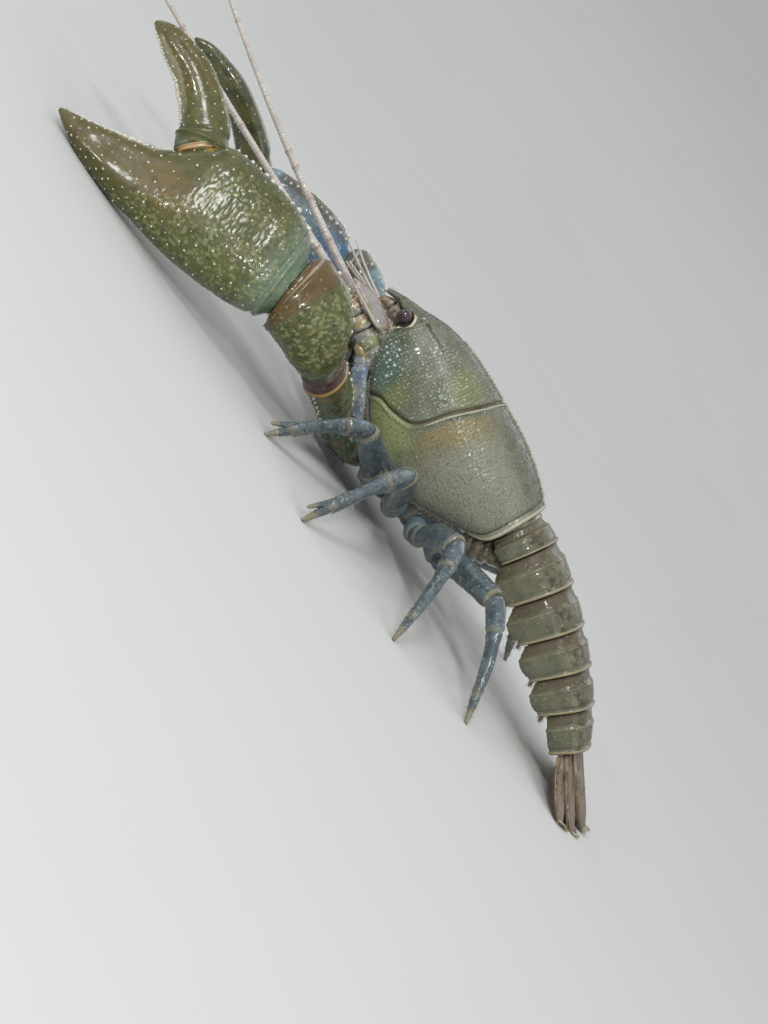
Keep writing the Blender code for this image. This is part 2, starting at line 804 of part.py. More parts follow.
def leg(pair, side):
    """One walking leg: an upper node to the knee and a lower one to the foot."""
    place = pair - 2
    name = f"{SIDE_NAMES[side]}_leg_{pair}"
    hip = body_point(LEG_BACK[place], side * (UNDERBODY_HALF_WIDTH + JOINT_GAP), LEG_UP[place])
    turn = math.radians(LEG_FORWARD_DEG[place])
    outward = Vector((side * math.cos(turn), -math.sin(turn), 0.0))
    rise = KNEE_HEIGHT[place] - hip.z
    knee = hip + outward * math.sqrt(UPPER_LENGTH[place] ** 2 - rise**2) + Vector((0, 0, rise))
    drop = KNEE_HEIGHT[place]
    foot = knee + outward * math.sqrt(LOWER_LENGTH[place] ** 2 - drop**2) - Vector((0, 0, drop))
    normal = outward.cross(Vector((0, 0, 1))).normalized()
    radius = THIGH_RADIUS[place]
    flat = radius * LEG_FLATNESS

    points = []
    for t, _ in UPPER_SHAPE:
        sag = UPPER_SAG * math.sin(math.pi * min(2.0 * t, 1.0))
        points.append(hip.lerp(knee, t) - Vector((0, 0, sag)))
    widths = [width for _, width in UPPER_SHAPE]
    rings = tube(points, [w * radius for w in widths], [w * flat for w in widths], normal, side=side)
    seat = oval(hip, Vector((side, 0, 0)), Vector((0, 1, 0)), radius * 0.9, flat, side=side)
    rings[0] = align(seat, rings[1])
    solid(name + "_upper", loft(rings), leg_finish())

    joint = path_tangent(points, len(points) - 1)
    start = knee + joint * JOINT_GAP
    pinched = pair <= LAST_PINCHER_PAIR
    points = [leg_line(start, foot, t, LOWER_BOW) for t, _ in LOWER_SHAPE]
    widths = [max(w, PINCHER_PALM) if pinched and t < PINCHER_FINGER[1][0] else w for t, w in LOWER_SHAPE]
    rings = tube(points, [w * radius for w in widths], [w * flat for w in widths], normal, side=side)
    rings[0] = oval(start, joint, normal, widths[0] * radius, widths[0] * flat, side=side)
    lower = solid(name + "_lower", loft(rings), leg_finish())
    if pinched:
        lower = join(lower, [pincher_finger(start, foot, normal, side)])
    flatten_object(lower)


class Claw:
    """The sizes and the pose of one claw limb, in millimetres and degrees."""

    def __init__(self, side, size, slim, elbow, wrist, aim, roll, finish, finger_length, finger_clear):
        self.side = side
        self.name = SIDE_NAMES[side] + "_claw"
        self.size = size
        self.narrow = size * slim
        self.elbow = Vector(elbow)
        self.wrist = Vector(wrist)
        self.finish = finish
        self.finger_length = finger_length
        self.finger_clear = finger_clear
        out, down = (math.radians(v) for v in aim)
        ahead = Vector((side * math.sin(out), -math.cos(out), 0.0))
        self.axis = ahead * math.cos(down) - Vector((0, 0, math.sin(down)))
        lean = math.radians(roll)
        outward = Vector((side * math.cos(lean), 0.0, math.sin(lean)))
        self.wide = outward.cross(self.axis).normalized() * side
        self.face = self.axis.cross(self.wide).normalized() * side

    def point(self, along, across, through):
        """A place in the claw: along it, towards the fixed finger's edge, and through its face."""
        return self.wrist + self.axis * along + self.wide * across + self.face * through

    def ring(self, centre, along, half_wide, half_thick, sides, power):
        return oval(centre, along, self.face * self.side, half_wide, half_thick, sides, power, self.side)

    def tube(self, points, shape, scale, power):
        """A limb along points, with a (half width, half thickness) at each, and its start square."""
        wides = [wide * scale for wide, _ in shape]
        thicks = [thick * scale for _, thick in shape]
        return tube(points, wides, thicks, self.face * self.side, 12, power, self.side)


def palm(claw):
    """The broad hand and its fixed finger, with knobs along the inner edge."""
    rings = []
    for along, fixed, moving, thick in PALM_OUTLINE:
        centre = claw.point(along * claw.size, (fixed + moving) / 2 * claw.narrow, 0.0)
        half = (fixed - moving) / 2 * claw.narrow
        rings.append(claw.ring(centre, claw.axis, half, thick * claw.narrow, 14, 0.85))
    hand = solid(claw.name + "_palm", loft(rings), claw.finish())
    inner_edge = [(place[0], place[2]) for place in PALM_OUTLINE]
    knobs = []
    for k in range(PALM_KNOBS):
        along = PALM_KNOB_START + PALM_KNOB_STRETCH * k / PALM_KNOBS
        for row in (-1, 1):
            across = (curve_value(inner_edge, along) + 0.35) * claw.narrow
            through = row * PALM_KNOB_SPREAD / 2 * (1 - 0.3 * k / PALM_KNOBS)
            centre = claw.point((along + 0.25 * (row + 1)) * claw.size, across, through)
            radius = (PALM_KNOB_RADIUS - PALM_KNOB_SHRINK * k) * claw.size
            knobs.append(knob(centre, radius, claw.finish()))
    hand = join(hand, knobs, "MANIFOLD")
    flatten_object(hand)


def dactyl(claw):
    """The movable finger, open, its root parallel to the palm's notch."""
    lean = math.radians(FINGER_LEAN_DEG)
    ahead, aside = math.cos(lean), math.sin(lean)
    clear = JOINT_GAP + claw.finger_clear
    start = (FINGER_ROOT[0] * claw.size + clear * ahead, FINGER_ROOT[1] * claw.narrow + clear * aside)
    middles = []
    for distance, bow, _, _ in FINGER_OUTLINE:
        distance *= claw.size * claw.finger_length
        bow *= claw.size
        across = start[1] + distance * aside - bow * ahead
        middles.append(claw.point(start[0] + distance * ahead + bow * aside, across, 0.0))
    root_way = claw.axis * ahead + claw.wide * aside
    rings = []
    for k, (_, _, half, thick) in enumerate(FINGER_OUTLINE):
        way = path_tangent(middles, k) if k else root_way
        rings.append(claw.ring(middles[k], way, half * claw.narrow, thick * claw.narrow, 12, 0.9))
    solid(claw.name + "_dactyl", loft(rings), claw.finish())


def crest_knobs(claw, rings, radius):
    """A knob on each ring of a limb, on the edge that faces away from the fixed finger."""
    knobs = []
    for ring in rings:
        middle = sum(ring, Vector()) / len(ring)
        edge = min(ring, key=lambda point: point.dot(claw.wide))
        centre = edge + (edge - middle).normalized() * radius * 0.2 * claw.size
        knobs.append(knob(centre, radius * claw.size, claw.finish()))
    return knobs


def claw_arm(claw):
    """The arm from the chest to the elbow, with knobs along its upper edge."""
    back, up = ARM_HIP
    hip = body_point(back, claw.side * (UNDERBODY_HALF_WIDTH + JOINT_GAP), up)
    second = hip + Vector((claw.side * 4.6, -2.2, -0.1))
    third = hip + Vector((claw.side * 7.4, -5.8, 0.9))
    before = third.lerp(claw.elbow, 0.45) + Vector((0, 0, 0.4))
    knee = claw.elbow
    points = [
        hip,
        hip.lerp(second, 0.6),
        second,
        second.lerp(third, 0.55),
        third,
        third.lerp(before, 0.5),
        before,
        before.lerp(knee, 0.55),
        before.lerp(knee, 0.88),
        knee,
    ]
    rings = claw.tube(points, ARM_SHAPE, claw.size, 0.95)
    wide, thick = (v * claw.size for v in ARM_SHAPE[0])
    seat = oval(hip, Vector((claw.side, 0, 0)), Vector((0, 1, 0)), wide, thick, 12, side=claw.side)
    rings[0] = align(seat, rings[1])
    arm = solid(claw.name + "_arm", loft(rings), claw.finish())
    join(arm, crest_knobs(claw, [rings[k] for k in ARM_KNOB_RINGS], ARM_KNOB_RADIUS), "MANIFOLD")
    claw.elbow_way = path_tangent(points, len(points) - 1)


def claw_wrist(claw):
    """The chunky joint between arm and hand, widest at the rim before the hand."""
    start = claw.elbow + claw.elbow_way * JOINT_GAP
    end = claw.wrist - claw.axis * JOINT_GAP
    handle = (end - start).length * WRIST_HANDLE
    leave = start + claw.elbow_way * handle
    arrive = end - claw.axis * handle
    points = []
    for t, _, _ in WRIST_SHAPE:
        s = 1.0 - t
        points.append(start * s**3 + leave * 3 * t * s**2 + arrive * 3 * t**2 * s + end * t**3)
    shape = [(wide, thick) for _, wide, thick in WRIST_SHAPE]
    rings = claw.tube(points, shape, claw.narrow, 0.9)
    for k, centre, way, scale in ((0, start, claw.elbow_way, claw.size), (-1, end, claw.axis, claw.narrow)):
        wide, thick = shape[k]
        rings[k] = claw.ring(centre, way, wide * scale, thick * scale, 12, 0.9)
    wrist = solid(claw.name + "_wrist", loft(rings), claw.finish())
    join(wrist, crest_knobs(claw, [rings[k] for k in WRIST_KNOB_RINGS], WRIST_KNOB_RADIUS), "MANIFOLD")


def abdomen():
    """Six rings of the tail, each a little wider at its rear rim, curving down to the fan."""
    made = []
    middle = body_point(ABDOMEN_START_BACK, 0.0, ABDOMEN_START_UP)
    pitch = BODY_PITCH
    last = len(ABDOMEN_LENGTH) - 1
    for k, length in enumerate(ABDOMEN_LENGTH):
        rings = []
        here = middle
        for j in range(ABDOMEN_STEPS + 1):
            t = j / ABDOMEN_STEPS
            turn = pitch + ABDOMEN_PITCH_STEP * t
            along = Vector((0, math.cos(turn), -math.sin(turn)))
            upward = Vector((0, math.sin(turn), math.cos(turn)))
            if j:
                here = here + along * ((length - JOINT_GAP) / ABDOMEN_STEPS)
            if k < last:
                half = ABDOMEN_HALF_WIDTH[k] + (ABDOMEN_HALF_WIDTH[k + 1] - ABDOMEN_HALF_WIDTH[k]) * t
                over = ABDOMEN_OVER[k] + (ABDOMEN_OVER[k + 1] - ABDOMEN_OVER[k]) * t
            else:
                half = ABDOMEN_HALF_WIDTH[k] * (1.0 - 0.12 * t)
                over = ABDOMEN_OVER[k] * (1.0 - 0.3 * t)
            flare = 0.94 + 0.07 * min(1.0, 2.2 * t)
            bulge = math.sin(math.pi * (0.08 + 0.84 * t)) ** 0.6
            lobe = STERNUM_DROP + (PLEURA_DROP[k] - STERNUM_DROP) * bulge
            rings.append(abdomen_ring(here, upward, half * flare, over * flare, lobe))
        made.append(solid(f"abdomen_{k + 1}", loft(rings), carapace_finish()))
        middle = here + along * JOINT_GAP
        pitch += ABDOMEN_PITCH_STEP
    return made, middle, pitch


def abdomen_ring(centre, upward, half, over, lobe):
    """An arch over a flat underside, with a side lobe hanging at each edge."""
    outline = []
    arch = 7
    for k in range(arch + 1):
        angle = math.pi / 2 * (1.0 - k / arch)
        outline.append((half * math.cos(angle) ** 0.85, over * math.sin(angle)))
    outline += [
        (half, -lobe * 0.45),
        (half * 0.97, -lobe * 0.8),
        (half * 0.9, -lobe),
        (half * 0.8, -lobe * 0.85),
        (half * 0.7, -STERNUM_DROP * 0.95),
        (half * 0.35, -STERNUM_DROP),
        (0.0, -STERNUM_DROP),
    ]
    ring = [centre + Vector((out, 0, 0)) + upward * up for out, up in outline]
    ring += [centre + Vector((-out, 0, 0)) + upward * up for out, up in outline[-2:0:-1]]
    return ring


def swimmerets(pieces):
    """A pair of small paddles under each of the second to fifth abdomen rings."""
    for piece in pieces[1:5]:
        spots = [v.co / MM for v in piece.data.vertices]
        low = min(p.z for p in spots)
        middle = sum(spots, Vector()) / len(spots)
        paddles = []
        for side in (LEFT, RIGHT):
            root = Vector((side * PADDLE_ROOT_OUT, middle.y - 0.6, middle.z - 1.0))
            tip = Vector((side * PADDLE_TIP_OUT, middle.y + 1.7, max(low - 0.9, 1.0)))
            points = [root.lerp(tip, t) for t, _, _ in PADDLE_SHAPE]
            wides = [wide for _, wide, _ in PADDLE_SHAPE]
            thicks = [thick for _, _, thick in PADDLE_SHAPE]
            paddle = loft(tube(points, wides, thicks, Vector((0, 1, 0.4)), 6))
            paddles.append(solid("paddle", paddle, tail_finish()))
        join(piece, paddles, "MANIFOLD")


def fan_leaf(name, root, pitch, heading, size, side, shape):
    """One plate of the tail fan, lying in the fan's plane, from its root to its rounded end."""
    length, half_width = size
    aft = Vector((0, math.cos(pitch), -math.sin(pitch)))
    upward = Vector((0, math.sin(pitch), math.cos(pitch)))
    outward = Vector((side, 0, 0))
    turn = math.radians(heading)
    along = outward * math.sin(turn) + aft * math.cos(turn)
    steps = 4
    rings = []
    for share, width, thick in shape:
        bend = turn * min(1.0, share / 0.3)
        across = outward * math.cos(bend) - aft * math.sin(bend)
        centre = root + along * length * share
        over, under = [], []
        for k in range(steps + 1):
            u = -1.0 + 2.0 * k / steps
            swell = 1.0 - u * u
            edge = centre + across * u * half_width * width + upward * FAN_CAMBER * swell
            half = thick * (0.25 + 0.25 * swell)
            over.append(edge + upward * half)
            under.append(edge - upward * half)
        rings.append(over + under[::-1])
    bm = loft(rings)
    stand_flat(bm)
    return solid(name, bm, tail_finish())


def tail_fan(middle, pitch):
    """The telson, with an inner and an outer side plate layered below it on each side."""
    upward = Vector((0, math.sin(pitch), math.cos(pitch)))
    fan_leaf("telson", middle + upward * FAN_TOP, pitch, 0.0, TELSON_SIZE, LEFT, TELSON_SHAPE)
    for layer, kind, plate in ((1, "inner", INNER_UROPOD), (2, "outer", OUTER_UROPOD)):
        length, half_width, root_out, heading = plate
        for side in (LEFT, RIGHT):
            root = middle + Vector((side * root_out, 0, 0)) + upward * (FAN_TOP - layer * FAN_LAYER)
            name = f"{SIDE_NAMES[side]}_{kind}_uropod"
            fan_leaf(name, root, pitch, heading, (length, half_width), side, UROPOD_SHAPE)


def centre_on_floor():
    """Move the whole animal so that the middle of its box stands over the origin."""
    spots = [thing.matrix_world @ v.co for thing in bpy.data.objects for v in thing.data.vertices]
    middle_x = (min(p.x for p in spots) + max(p.x for p in spots)) / 2
    middle_y = (min(p.y for p in spots) + max(p.y for p in spots)) / 2
    for thing in bpy.data.objects:
        thing.location = (-middle_x, -middle_y, 0.0)


def claws():
    """The broad near claw on the left and the slimmer far one on the right."""
    near = Claw(
        LEFT,
        size=1.0,
        slim=1.0,
        elbow=(23.5, 5.5, 11.0),
        wrist=(28.5, -6.5, 14.33),
        aim=(6.0, 17.3),
        roll=28.0,
        finish=claw_finish,
        finger_length=1.0,
        finger_clear=0.0,
    )
    far = Claw(
        RIGHT,
        size=0.9,
        slim=0.86,
        elbow=(-19.5, 3.0, 11.5),
        wrist=(-21.0, -9.0, 15.1),
        aim=(-7.0, 22.2),
        roll=18.0,
        finish=far_claw_finish,
        finger_length=1.25,
        finger_clear=0.2,
    )
    for claw in (near, far):
        claw_arm(claw)
        claw_wrist(claw)
        palm(claw)
        dactyl(claw)


def build():
    clear_scene()
    head()
    thorax()
    underbody()
    claws()
    for side in (LEFT, RIGHT):
        eye(side)
        antenna_base(side)
        antenna(side)
        antenna_scale(side)
        antennule(side)
        maxilliped(side)
        for pair in (2, 3, 4, 5):
            leg(pair, side)
    rings, middle, pitch = abdomen()
    swimmerets(rings)
    tail_fan(middle, pitch)
    centre_on_floor()


build()
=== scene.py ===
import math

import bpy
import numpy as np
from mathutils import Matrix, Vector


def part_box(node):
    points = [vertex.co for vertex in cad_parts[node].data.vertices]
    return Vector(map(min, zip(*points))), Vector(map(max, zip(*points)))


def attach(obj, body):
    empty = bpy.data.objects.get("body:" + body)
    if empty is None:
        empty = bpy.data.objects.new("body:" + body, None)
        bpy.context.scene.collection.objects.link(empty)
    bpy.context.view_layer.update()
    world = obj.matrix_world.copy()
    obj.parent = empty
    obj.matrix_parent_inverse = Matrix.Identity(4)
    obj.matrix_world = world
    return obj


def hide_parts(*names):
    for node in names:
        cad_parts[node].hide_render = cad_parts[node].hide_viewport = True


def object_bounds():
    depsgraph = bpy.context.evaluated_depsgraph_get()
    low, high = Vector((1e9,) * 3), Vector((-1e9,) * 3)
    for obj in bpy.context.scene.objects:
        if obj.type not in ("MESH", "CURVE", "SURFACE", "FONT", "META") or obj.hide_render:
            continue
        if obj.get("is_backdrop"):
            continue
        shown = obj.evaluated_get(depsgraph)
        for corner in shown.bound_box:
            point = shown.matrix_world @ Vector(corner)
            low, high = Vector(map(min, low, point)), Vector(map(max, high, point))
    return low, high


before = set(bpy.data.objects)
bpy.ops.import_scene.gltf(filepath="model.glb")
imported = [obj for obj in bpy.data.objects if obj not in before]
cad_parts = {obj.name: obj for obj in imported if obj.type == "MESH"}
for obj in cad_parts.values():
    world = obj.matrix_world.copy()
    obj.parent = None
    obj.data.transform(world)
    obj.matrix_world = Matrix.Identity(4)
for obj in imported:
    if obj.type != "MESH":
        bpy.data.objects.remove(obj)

# %% [markdown]
# # A swamp crayfish, dressed for a museum case
#
# The frame that was just loaded holds the animal's solids at life size: 50 nodes, one for each part
# that a person would name. This script rebuilds each as a fine surface with grains, pearls, grooves
# and bristles, and gives it a wet, layered finish. Lengths are millimetres until a mesh is made.

cad_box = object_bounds()
MM = 0.001
GAP = 0.3
LEFT, RIGHT = 1, -1
SIDES = ((LEFT, "left"), (RIGHT, "right"))
BODY_PITCH = math.radians(8)
ROSTRUM_HEIGHT = 23
SHIFT_BACK = 0.241
UP = np.array((0.0, 0.0, 1.0))
print("solids:", len(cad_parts), "box", [round(v / MM, 1) for v in cad_box[1] - cad_box[0]], "mm")


# %% [markdown]
# ## Places on the body
#
# A place on the shell is easiest to give by how far it lies behind the beak's tip (back), to the side
# (out) and above the tip (up). The body is then tipped a little head-up and lifted over the floor.
# The functions take whole arrays, so one call can place a hundred thousand points.

# %% Body coordinates and smooth curves
def body(back, out, up):
    """Places on the body, in millimetres, as rows of x, y, z."""
    back, out, up = np.broadcast_arrays(*(np.asarray(v, float) for v in (back, out, up)))
    y = back * math.cos(BODY_PITCH) + up * math.sin(BODY_PITCH) + SHIFT_BACK
    z = up * math.cos(BODY_PITCH) - back * math.sin(BODY_PITCH) + ROSTRUM_HEIGHT
    return np.stack([out, y, z], -1)


def unit(vectors):
    return vectors / np.maximum(np.linalg.norm(vectors, axis=-1, keepdims=True), 1e-9)


def flow(stations, values, where):
    """The smooth curve through values (numbers or points) at stations, level beyond the ends."""
    xs, ys = np.asarray(stations, float), np.asarray(values, float)
    where = np.clip(np.asarray(where, float), xs[0], xs[-1])
    low = np.clip(np.searchsorted(xs, where, side="right") - 1, 0, len(xs) - 2)
    places = np.arange(len(xs))
    before, after = np.maximum(places - 1, 0), np.minimum(places + 1, len(xs) - 1)
    flat = (1,) * (ys.ndim - 1)
    slope = (ys[after] - ys[before]) / (xs[after] - xs[before]).reshape((-1, *flat))
    span = (xs[low + 1] - xs[low]).reshape(where.shape + flat)
    t = (where - xs[low]).reshape(where.shape + flat) / span
    rise = ys[low] * (2 * t**3 - 3 * t**2 + 1) + ys[low + 1] * (3 * t**2 - 2 * t**3)
    bend = slope[low] * (t**3 - 2 * t**2 + t) + slope[low + 1] * (t**3 - t**2)
    return rise + span * bend


def curve(pairs, where):
    """The smooth curve through (station, value) pairs."""
    return flow(*zip(*pairs), where)


def curves(rows, where):
    """A smooth curve for each further column of rows whose first column holds the stations."""
    rows = np.asarray(rows, float)
    return flow(rows[:, 0], rows[:, 1:], where).T


def ease(low, high, value):
    """0 below low, 1 above high, and an eased ramp between them."""
    t = np.clip((np.asarray(value, float) - low) / (high - low), 0, 1)
    return t * t * (3 - 2 * t)


def hill(value, middle, width):
    """1 at the middle, fading to 0 about two widths away on either side."""
    return np.exp(-(((np.asarray(value, float) - middle) / width) ** 2))


def bands(value, *rows):
    """Hills of given heights at given middles, with given widths, added up."""
    return sum(height * hill(value, middle, width) for height, middle, width in rows)


def hills(value, middles, width):
    """The sum of a hill at each middle, as a column for a grid's rows."""
    return sum((hill(value, middle, width) for middle in middles), np.zeros_like(value))[:, None]


def fade(low, high, value):
    """1 below low, 0 above high."""
    return 1 - ease(low, high, value)


def within(start, full, fall, end, value):
    """0 outside start and end, 1 between full and fall, eased on the way."""
    return ease(start, full, value) * fade(fall, end, value)


eye_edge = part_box("left_eye")[1].x / MM
print("the left eye reaches", round(eye_edge, 2), "mm out")


# %% [markdown]
# ## Roughness of life: grains and clouds
#
# A crayfish's shell carries grains, small round bumps that are thickest on the head, and cloudy
# swellings. Both could come from a texture, but bumps that catch the light at the outline have to be
# in the mesh. So two kinds of noise are worked out on arrays: grains measure the distance to the
# nearest of many scattered seeds, and clouds blend random values on a lattice.

# %% Noise on arrays of points
def scatter(cells, seed):
    """A repeatable random number from 0 to 1 for each lattice cell."""
    x, y, z = (cells[..., k].astype(np.int64) for k in range(3))
    mixed = (x * 73856093) ^ (y * 19349663) ^ (z * 83492791) ^ (seed * 265443577)
    mixed = ((mixed ^ (mixed >> 13)) * 1274126177) & 0x7FFFFFFF
    mixed = ((mixed ^ (mixed >> 15)) * 668265263) & 0x7FFFFFFF
    return ((mixed ^ (mixed >> 12)) & 0xFFFFFF) / float(0x1000000)


def grains(points, size, reach=0.55, seed=1, loose=1):
    """Round bumps from 0 to 1, one on each scattered seed that lies close to the surface."""
    place = points / size
    cell = np.floor(place)
    tall = np.zeros(points.shape[:-1])
    for step in np.ndindex(3, 3, 3):
        other = cell + np.array(step) - 1
        chance = np.stack([scatter(other, seed + k) for k in (0, 11, 23)], -1)
        spot = other + 0.5 + loose * (chance - 0.5)
        away = np.linalg.norm(spot - place, axis=-1)
        width = reach * (0.6 + 0.7 * scatter(other, seed + 37))
        tall = np.maximum(tall, np.sqrt(np.clip(1 - (away / width) ** 2, 0, 1)) * width / reach)
    return tall


def clouds(points, size, seed=5, octaves=3):
    """Soft random swellings from 0 to 1."""
    total, weight = 0, 0
    for octave in range(octaves):
        place = points / size * 2**octave
        cell = np.floor(place)
        t = place - cell
        t = t * t * (3 - 2 * t)
        for corner in np.ndindex(2, 2, 2):
            share = np.prod(np.where(corner, t, 1 - t), axis=-1)
            total = total + share * scatter(cell + corner, seed + octave) * 0.5**octave
        weight += 0.5**octave
    return total / weight


sample = clouds(np.random.default_rng(1).uniform(0, 40, (4000, 3)), 2)
print("clouds run from", round(float(sample.min()), 2), "to", round(float(sample.max()), 2))


# %% [markdown]
# ## From arrays to meshes
#
# Nearly every part of this animal is a bent tube or an arched plate, so one kind of surface serves
# them all: a grid whose rows run along the part and whose columns run round it. It knows its own
# outward directions, and can push each point out along them. Marks, numbers kept on the points, tell
# the finish where a rim or a joint is.

# %% Grids, meshes and marks
def outward(grid):
    """The outward direction at each point of a grid that goes round a part."""
    along = np.gradient(grid, axis=0)
    around = np.roll(grid, -1, 1) - np.roll(grid, 1, 1)
    ways = np.cross(around, along)
    if np.sum(ways * (grid - grid.mean(axis=1, keepdims=True))) < 0:
        ways = -ways
    return unit(ways)


def raised(grid, height):
    return grid + outward(grid) * np.asarray(height)[..., None]


def carved(grid, cuts, lips, depths, grain, fold, ends):
    """A limb's grid with its joints cut, a lip before each, grains between them and soft folds."""
    cut, lip, rise = depths
    bumps = grains(grid, *grain) * (1 - cuts)
    folds = fold[0] * (clouds(grid, *fold[1:]) - 0.5)
    return raised(grid, (lip * lips - cut * cuts + rise * bumps + folds) * ends), bumps


def make(name, points, faces, finish, marks=None, slot=None, nodes=(), patch=None):
    """A smooth piece from points in millimetres and lists of faces, kept above the floor."""
    mesh = bpy.data.meshes.new(name)
    mesh.vertices.add(len(points))
    points = np.array(points, float)
    points[:, 2] = np.maximum(points[:, 2], 0)
    mesh.vertices.foreach_set("co", (points * MM).ravel())
    corners = np.concatenate([np.ravel(f) for f in faces]).astype(np.int32)
    sizes = np.concatenate([np.full(len(f), f.shape[1]) for f in faces])
    mesh.loops.add(len(corners))
    mesh.loops.foreach_set("vertex_index", corners)
    mesh.polygons.add(len(sizes))
    mesh.polygons.foreach_set("loop_start", (np.cumsum(sizes) - sizes).astype(np.int32))
    mesh.update(calc_edges=True)
    mesh.shade_smooth()
    for mark, values in (marks or {}).items():
        layer = mesh.attributes.new(mark, "FLOAT", "POINT")
        layer.data.foreach_set("value", np.asarray(values, np.float32).ravel())
    if patch is not None:
        layer = mesh.uv_layers.new(name="OFBake")
        layer.data.foreach_set("uv", np.asarray(patch, np.float32)[corners].ravel())
    mesh.materials.append(finish)
    piece = bpy.data.objects.new(name, mesh)
    bpy.context.scene.collection.objects.link(piece)
    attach(piece, "root")
    if nodes:
        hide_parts(*nodes)
    return piece


def skin(name, grid, finish, marks, slot, *nodes):
    """A closed piece over a grid that goes round, its two ends shut by fans."""
    rows, columns, _ = grid.shape
    index = np.arange(rows * columns).reshape(rows, columns)
    beside = np.roll(index, -1, 1)
    ways = np.cross(np.roll(grid, -1, 1) - grid, np.gradient(grid, axis=0))
    inward = np.sum(ways * (grid - grid.mean(axis=1, keepdims=True))) < 0
    quads = np.stack([index[:-1], beside[:-1], beside[1:], index[1:]], -1).reshape(-1, 4)
    if inward:
        quads = quads[:, ::-1]
    points = np.vstack([grid.reshape(-1, 3), grid[0].mean(axis=0), grid[-1].mean(axis=0)])
    fans = []
    for row, hub in ((0, rows * columns), (rows - 1, rows * columns + 1)):
        ends = (beside[row], index[row]) if (row == 0) != inward else (index[row], beside[row])
        fans.append(np.stack([*ends, np.full(columns, hub)], -1))
    full = {}
    for mark, values in marks.items():
        values = np.broadcast_to(values, (rows, columns))
        full[mark] = np.concatenate([values.ravel(), values[0, :1], values[-1, :1]])
    return make(name, points, [quads, *fans], finish, full, slot, nodes)


def tube(points, wides, thicks, face, columns, power=1, ways=None):
    """A grid round a path: wide across the direction that it faces, thick along that."""
    points = np.asarray(points, float)
    along = unit(np.gradient(points, axis=0) if ways is None else np.asarray(ways, float))
    wide = unit(np.cross(np.asarray(face, float), along))
    thick = np.cross(along, wide)
    angle = 2 * np.pi * np.arange(columns) / columns
    c, s = (np.sign(v) * np.abs(v) ** power for v in (np.cos(angle), np.sin(angle)))
    across = (wide * np.reshape(wides, (-1, 1)))[:, None, :] * c[None, :, None]
    through = (thick * np.reshape(thicks, (-1, 1)))[:, None, :] * s[None, :, None]
    return points[:, None, :] + across + through


# %% [markdown]
# ## Pearls, thorns and bristles
#
# Pearls are low domes, thorns are pointed ones, and bristles are fine bent hairs. Each could be an
# object of its own, but thousands of objects are slow, so a group is one mesh made from arrays. A hair
# also gets a tiny patch on a map, at its root's place on the unrolled skin, for baking its colour.

# %% Domes and hairs in bulk
DOME = ((1, -0.5), (0.95, 0.2), (0.7, 0.68), (0.36, 0.93), (0, 1))
THORN = ((1, -0.5), (0.78, 0.12), (0.46, 0.5), (0.2, 0.8), (0, 1))


def round_ways(ways, sides):
    """Directions square to each given one, evenly spaced round it."""
    helper = np.where(np.abs(ways[:, 2:3]) < 0.8, UP, np.array((1, 0, 0)))
    first = unit(np.cross(ways, helper))
    angle = (2 * np.pi * np.arange(sides) / sides)[None, :, None]
    return first[:, None] * np.cos(angle) + np.cross(ways, first)[:, None] * np.sin(angle)


def many(name, rings, tips, finish, floor=(), **where):
    """One mesh of many small shapes, each a stack of rings that ends in a tip."""
    points = np.concatenate([*rings, tips[:, None]], 1)
    count, each = points.shape[:2]
    sides = rings[0].shape[1]
    k = np.arange(sides)
    n = (k + 1) % sides
    quads = np.concatenate([
        np.stack([k, n, n + sides, k + sides], -1) + row * sides for row in range(len(rings) - 1)
    ])
    last = (len(rings) - 1) * sides
    caps = np.concatenate([np.stack([last + k, last + n, np.full(sides, each - 1)], -1), *floor])
    offset = (np.arange(count) * each)[:, None, None]
    faces = [(quads + offset).reshape(-1, 4), (caps + offset).reshape(-1, 3)]
    return make(name, points.reshape(-1, 3), faces, finish, **where)


def studs(name, spots, ways, widths, heights, finish, shape=DOME, sides=8, **where):
    """Many small domes or thorns in one mesh, their roots sunk in what they grow from."""
    widths, heights = (np.broadcast_to(v, len(spots))[:, None, None] for v in (widths, heights))
    flat, tall = round_ways(ways, sides) * widths, ways[:, None] * heights
    rings = [spots[:, None] + flat * wide + tall * high for wide, high in shape[:-1]]
    return many(name, rings, spots + tall[:, 0], finish, **where)


HAIR_STAGES, HAIR_SIDES, HAIR_SUNK = (0, 0.45, 0.8), 3, 0.06
HAIR_PATCH = 0.0015


def hairs(name, spots, ways, lengths, width, finish, roots, droop=0.25, **where):
    """Many tapered three-sided hairs in one mesh, each bending a little under its own weight."""
    lengths = np.broadcast_to(lengths, len(spots))[:, None]
    flat = round_ways(ways, HAIR_SIDES)
    angle = 2 * np.pi * np.arange(HAIR_SIDES) / HAIR_SIDES
    circle = np.stack([np.cos(angle), np.sin(angle)], -1) * HAIR_PATCH
    rings, patches = [], []
    for t in HAIR_STAGES:
        middle = spots + ways * lengths * (t - HAIR_SUNK) - UP * lengths * droop * t * t
        rings.append(middle[:, None] + flat * width * (1 - 0.75 * t))
        patches.append(roots[:, None] + circle * (1 - 0.8 * t))
    tips = spots + ways * lengths - UP * lengths * droop
    patch = np.clip(np.concatenate([*patches, roots[:, None]], 1).reshape(-1, 2), 0.002, 0.998)
    return many(name, rings, tips, finish, [np.array([[2, 1, 0]])], patch=patch, **where)


def pick(grid, rows, columns):
    """Places, outward directions and map places at shares along and round a grid."""
    i = np.clip(np.round(np.asarray(rows) * (grid.shape[0] - 1)), 0, grid.shape[0] - 1).astype(int)
    j = np.round(np.asarray(columns) * grid.shape[1]).astype(int) % grid.shape[1]
    roots = np.stack([0.02 + 0.96 * i / grid.shape[0], 0.02 + 0.96 * j / grid.shape[1]], -1)
    return grid[i, j], outward(grid)[i, j], roots


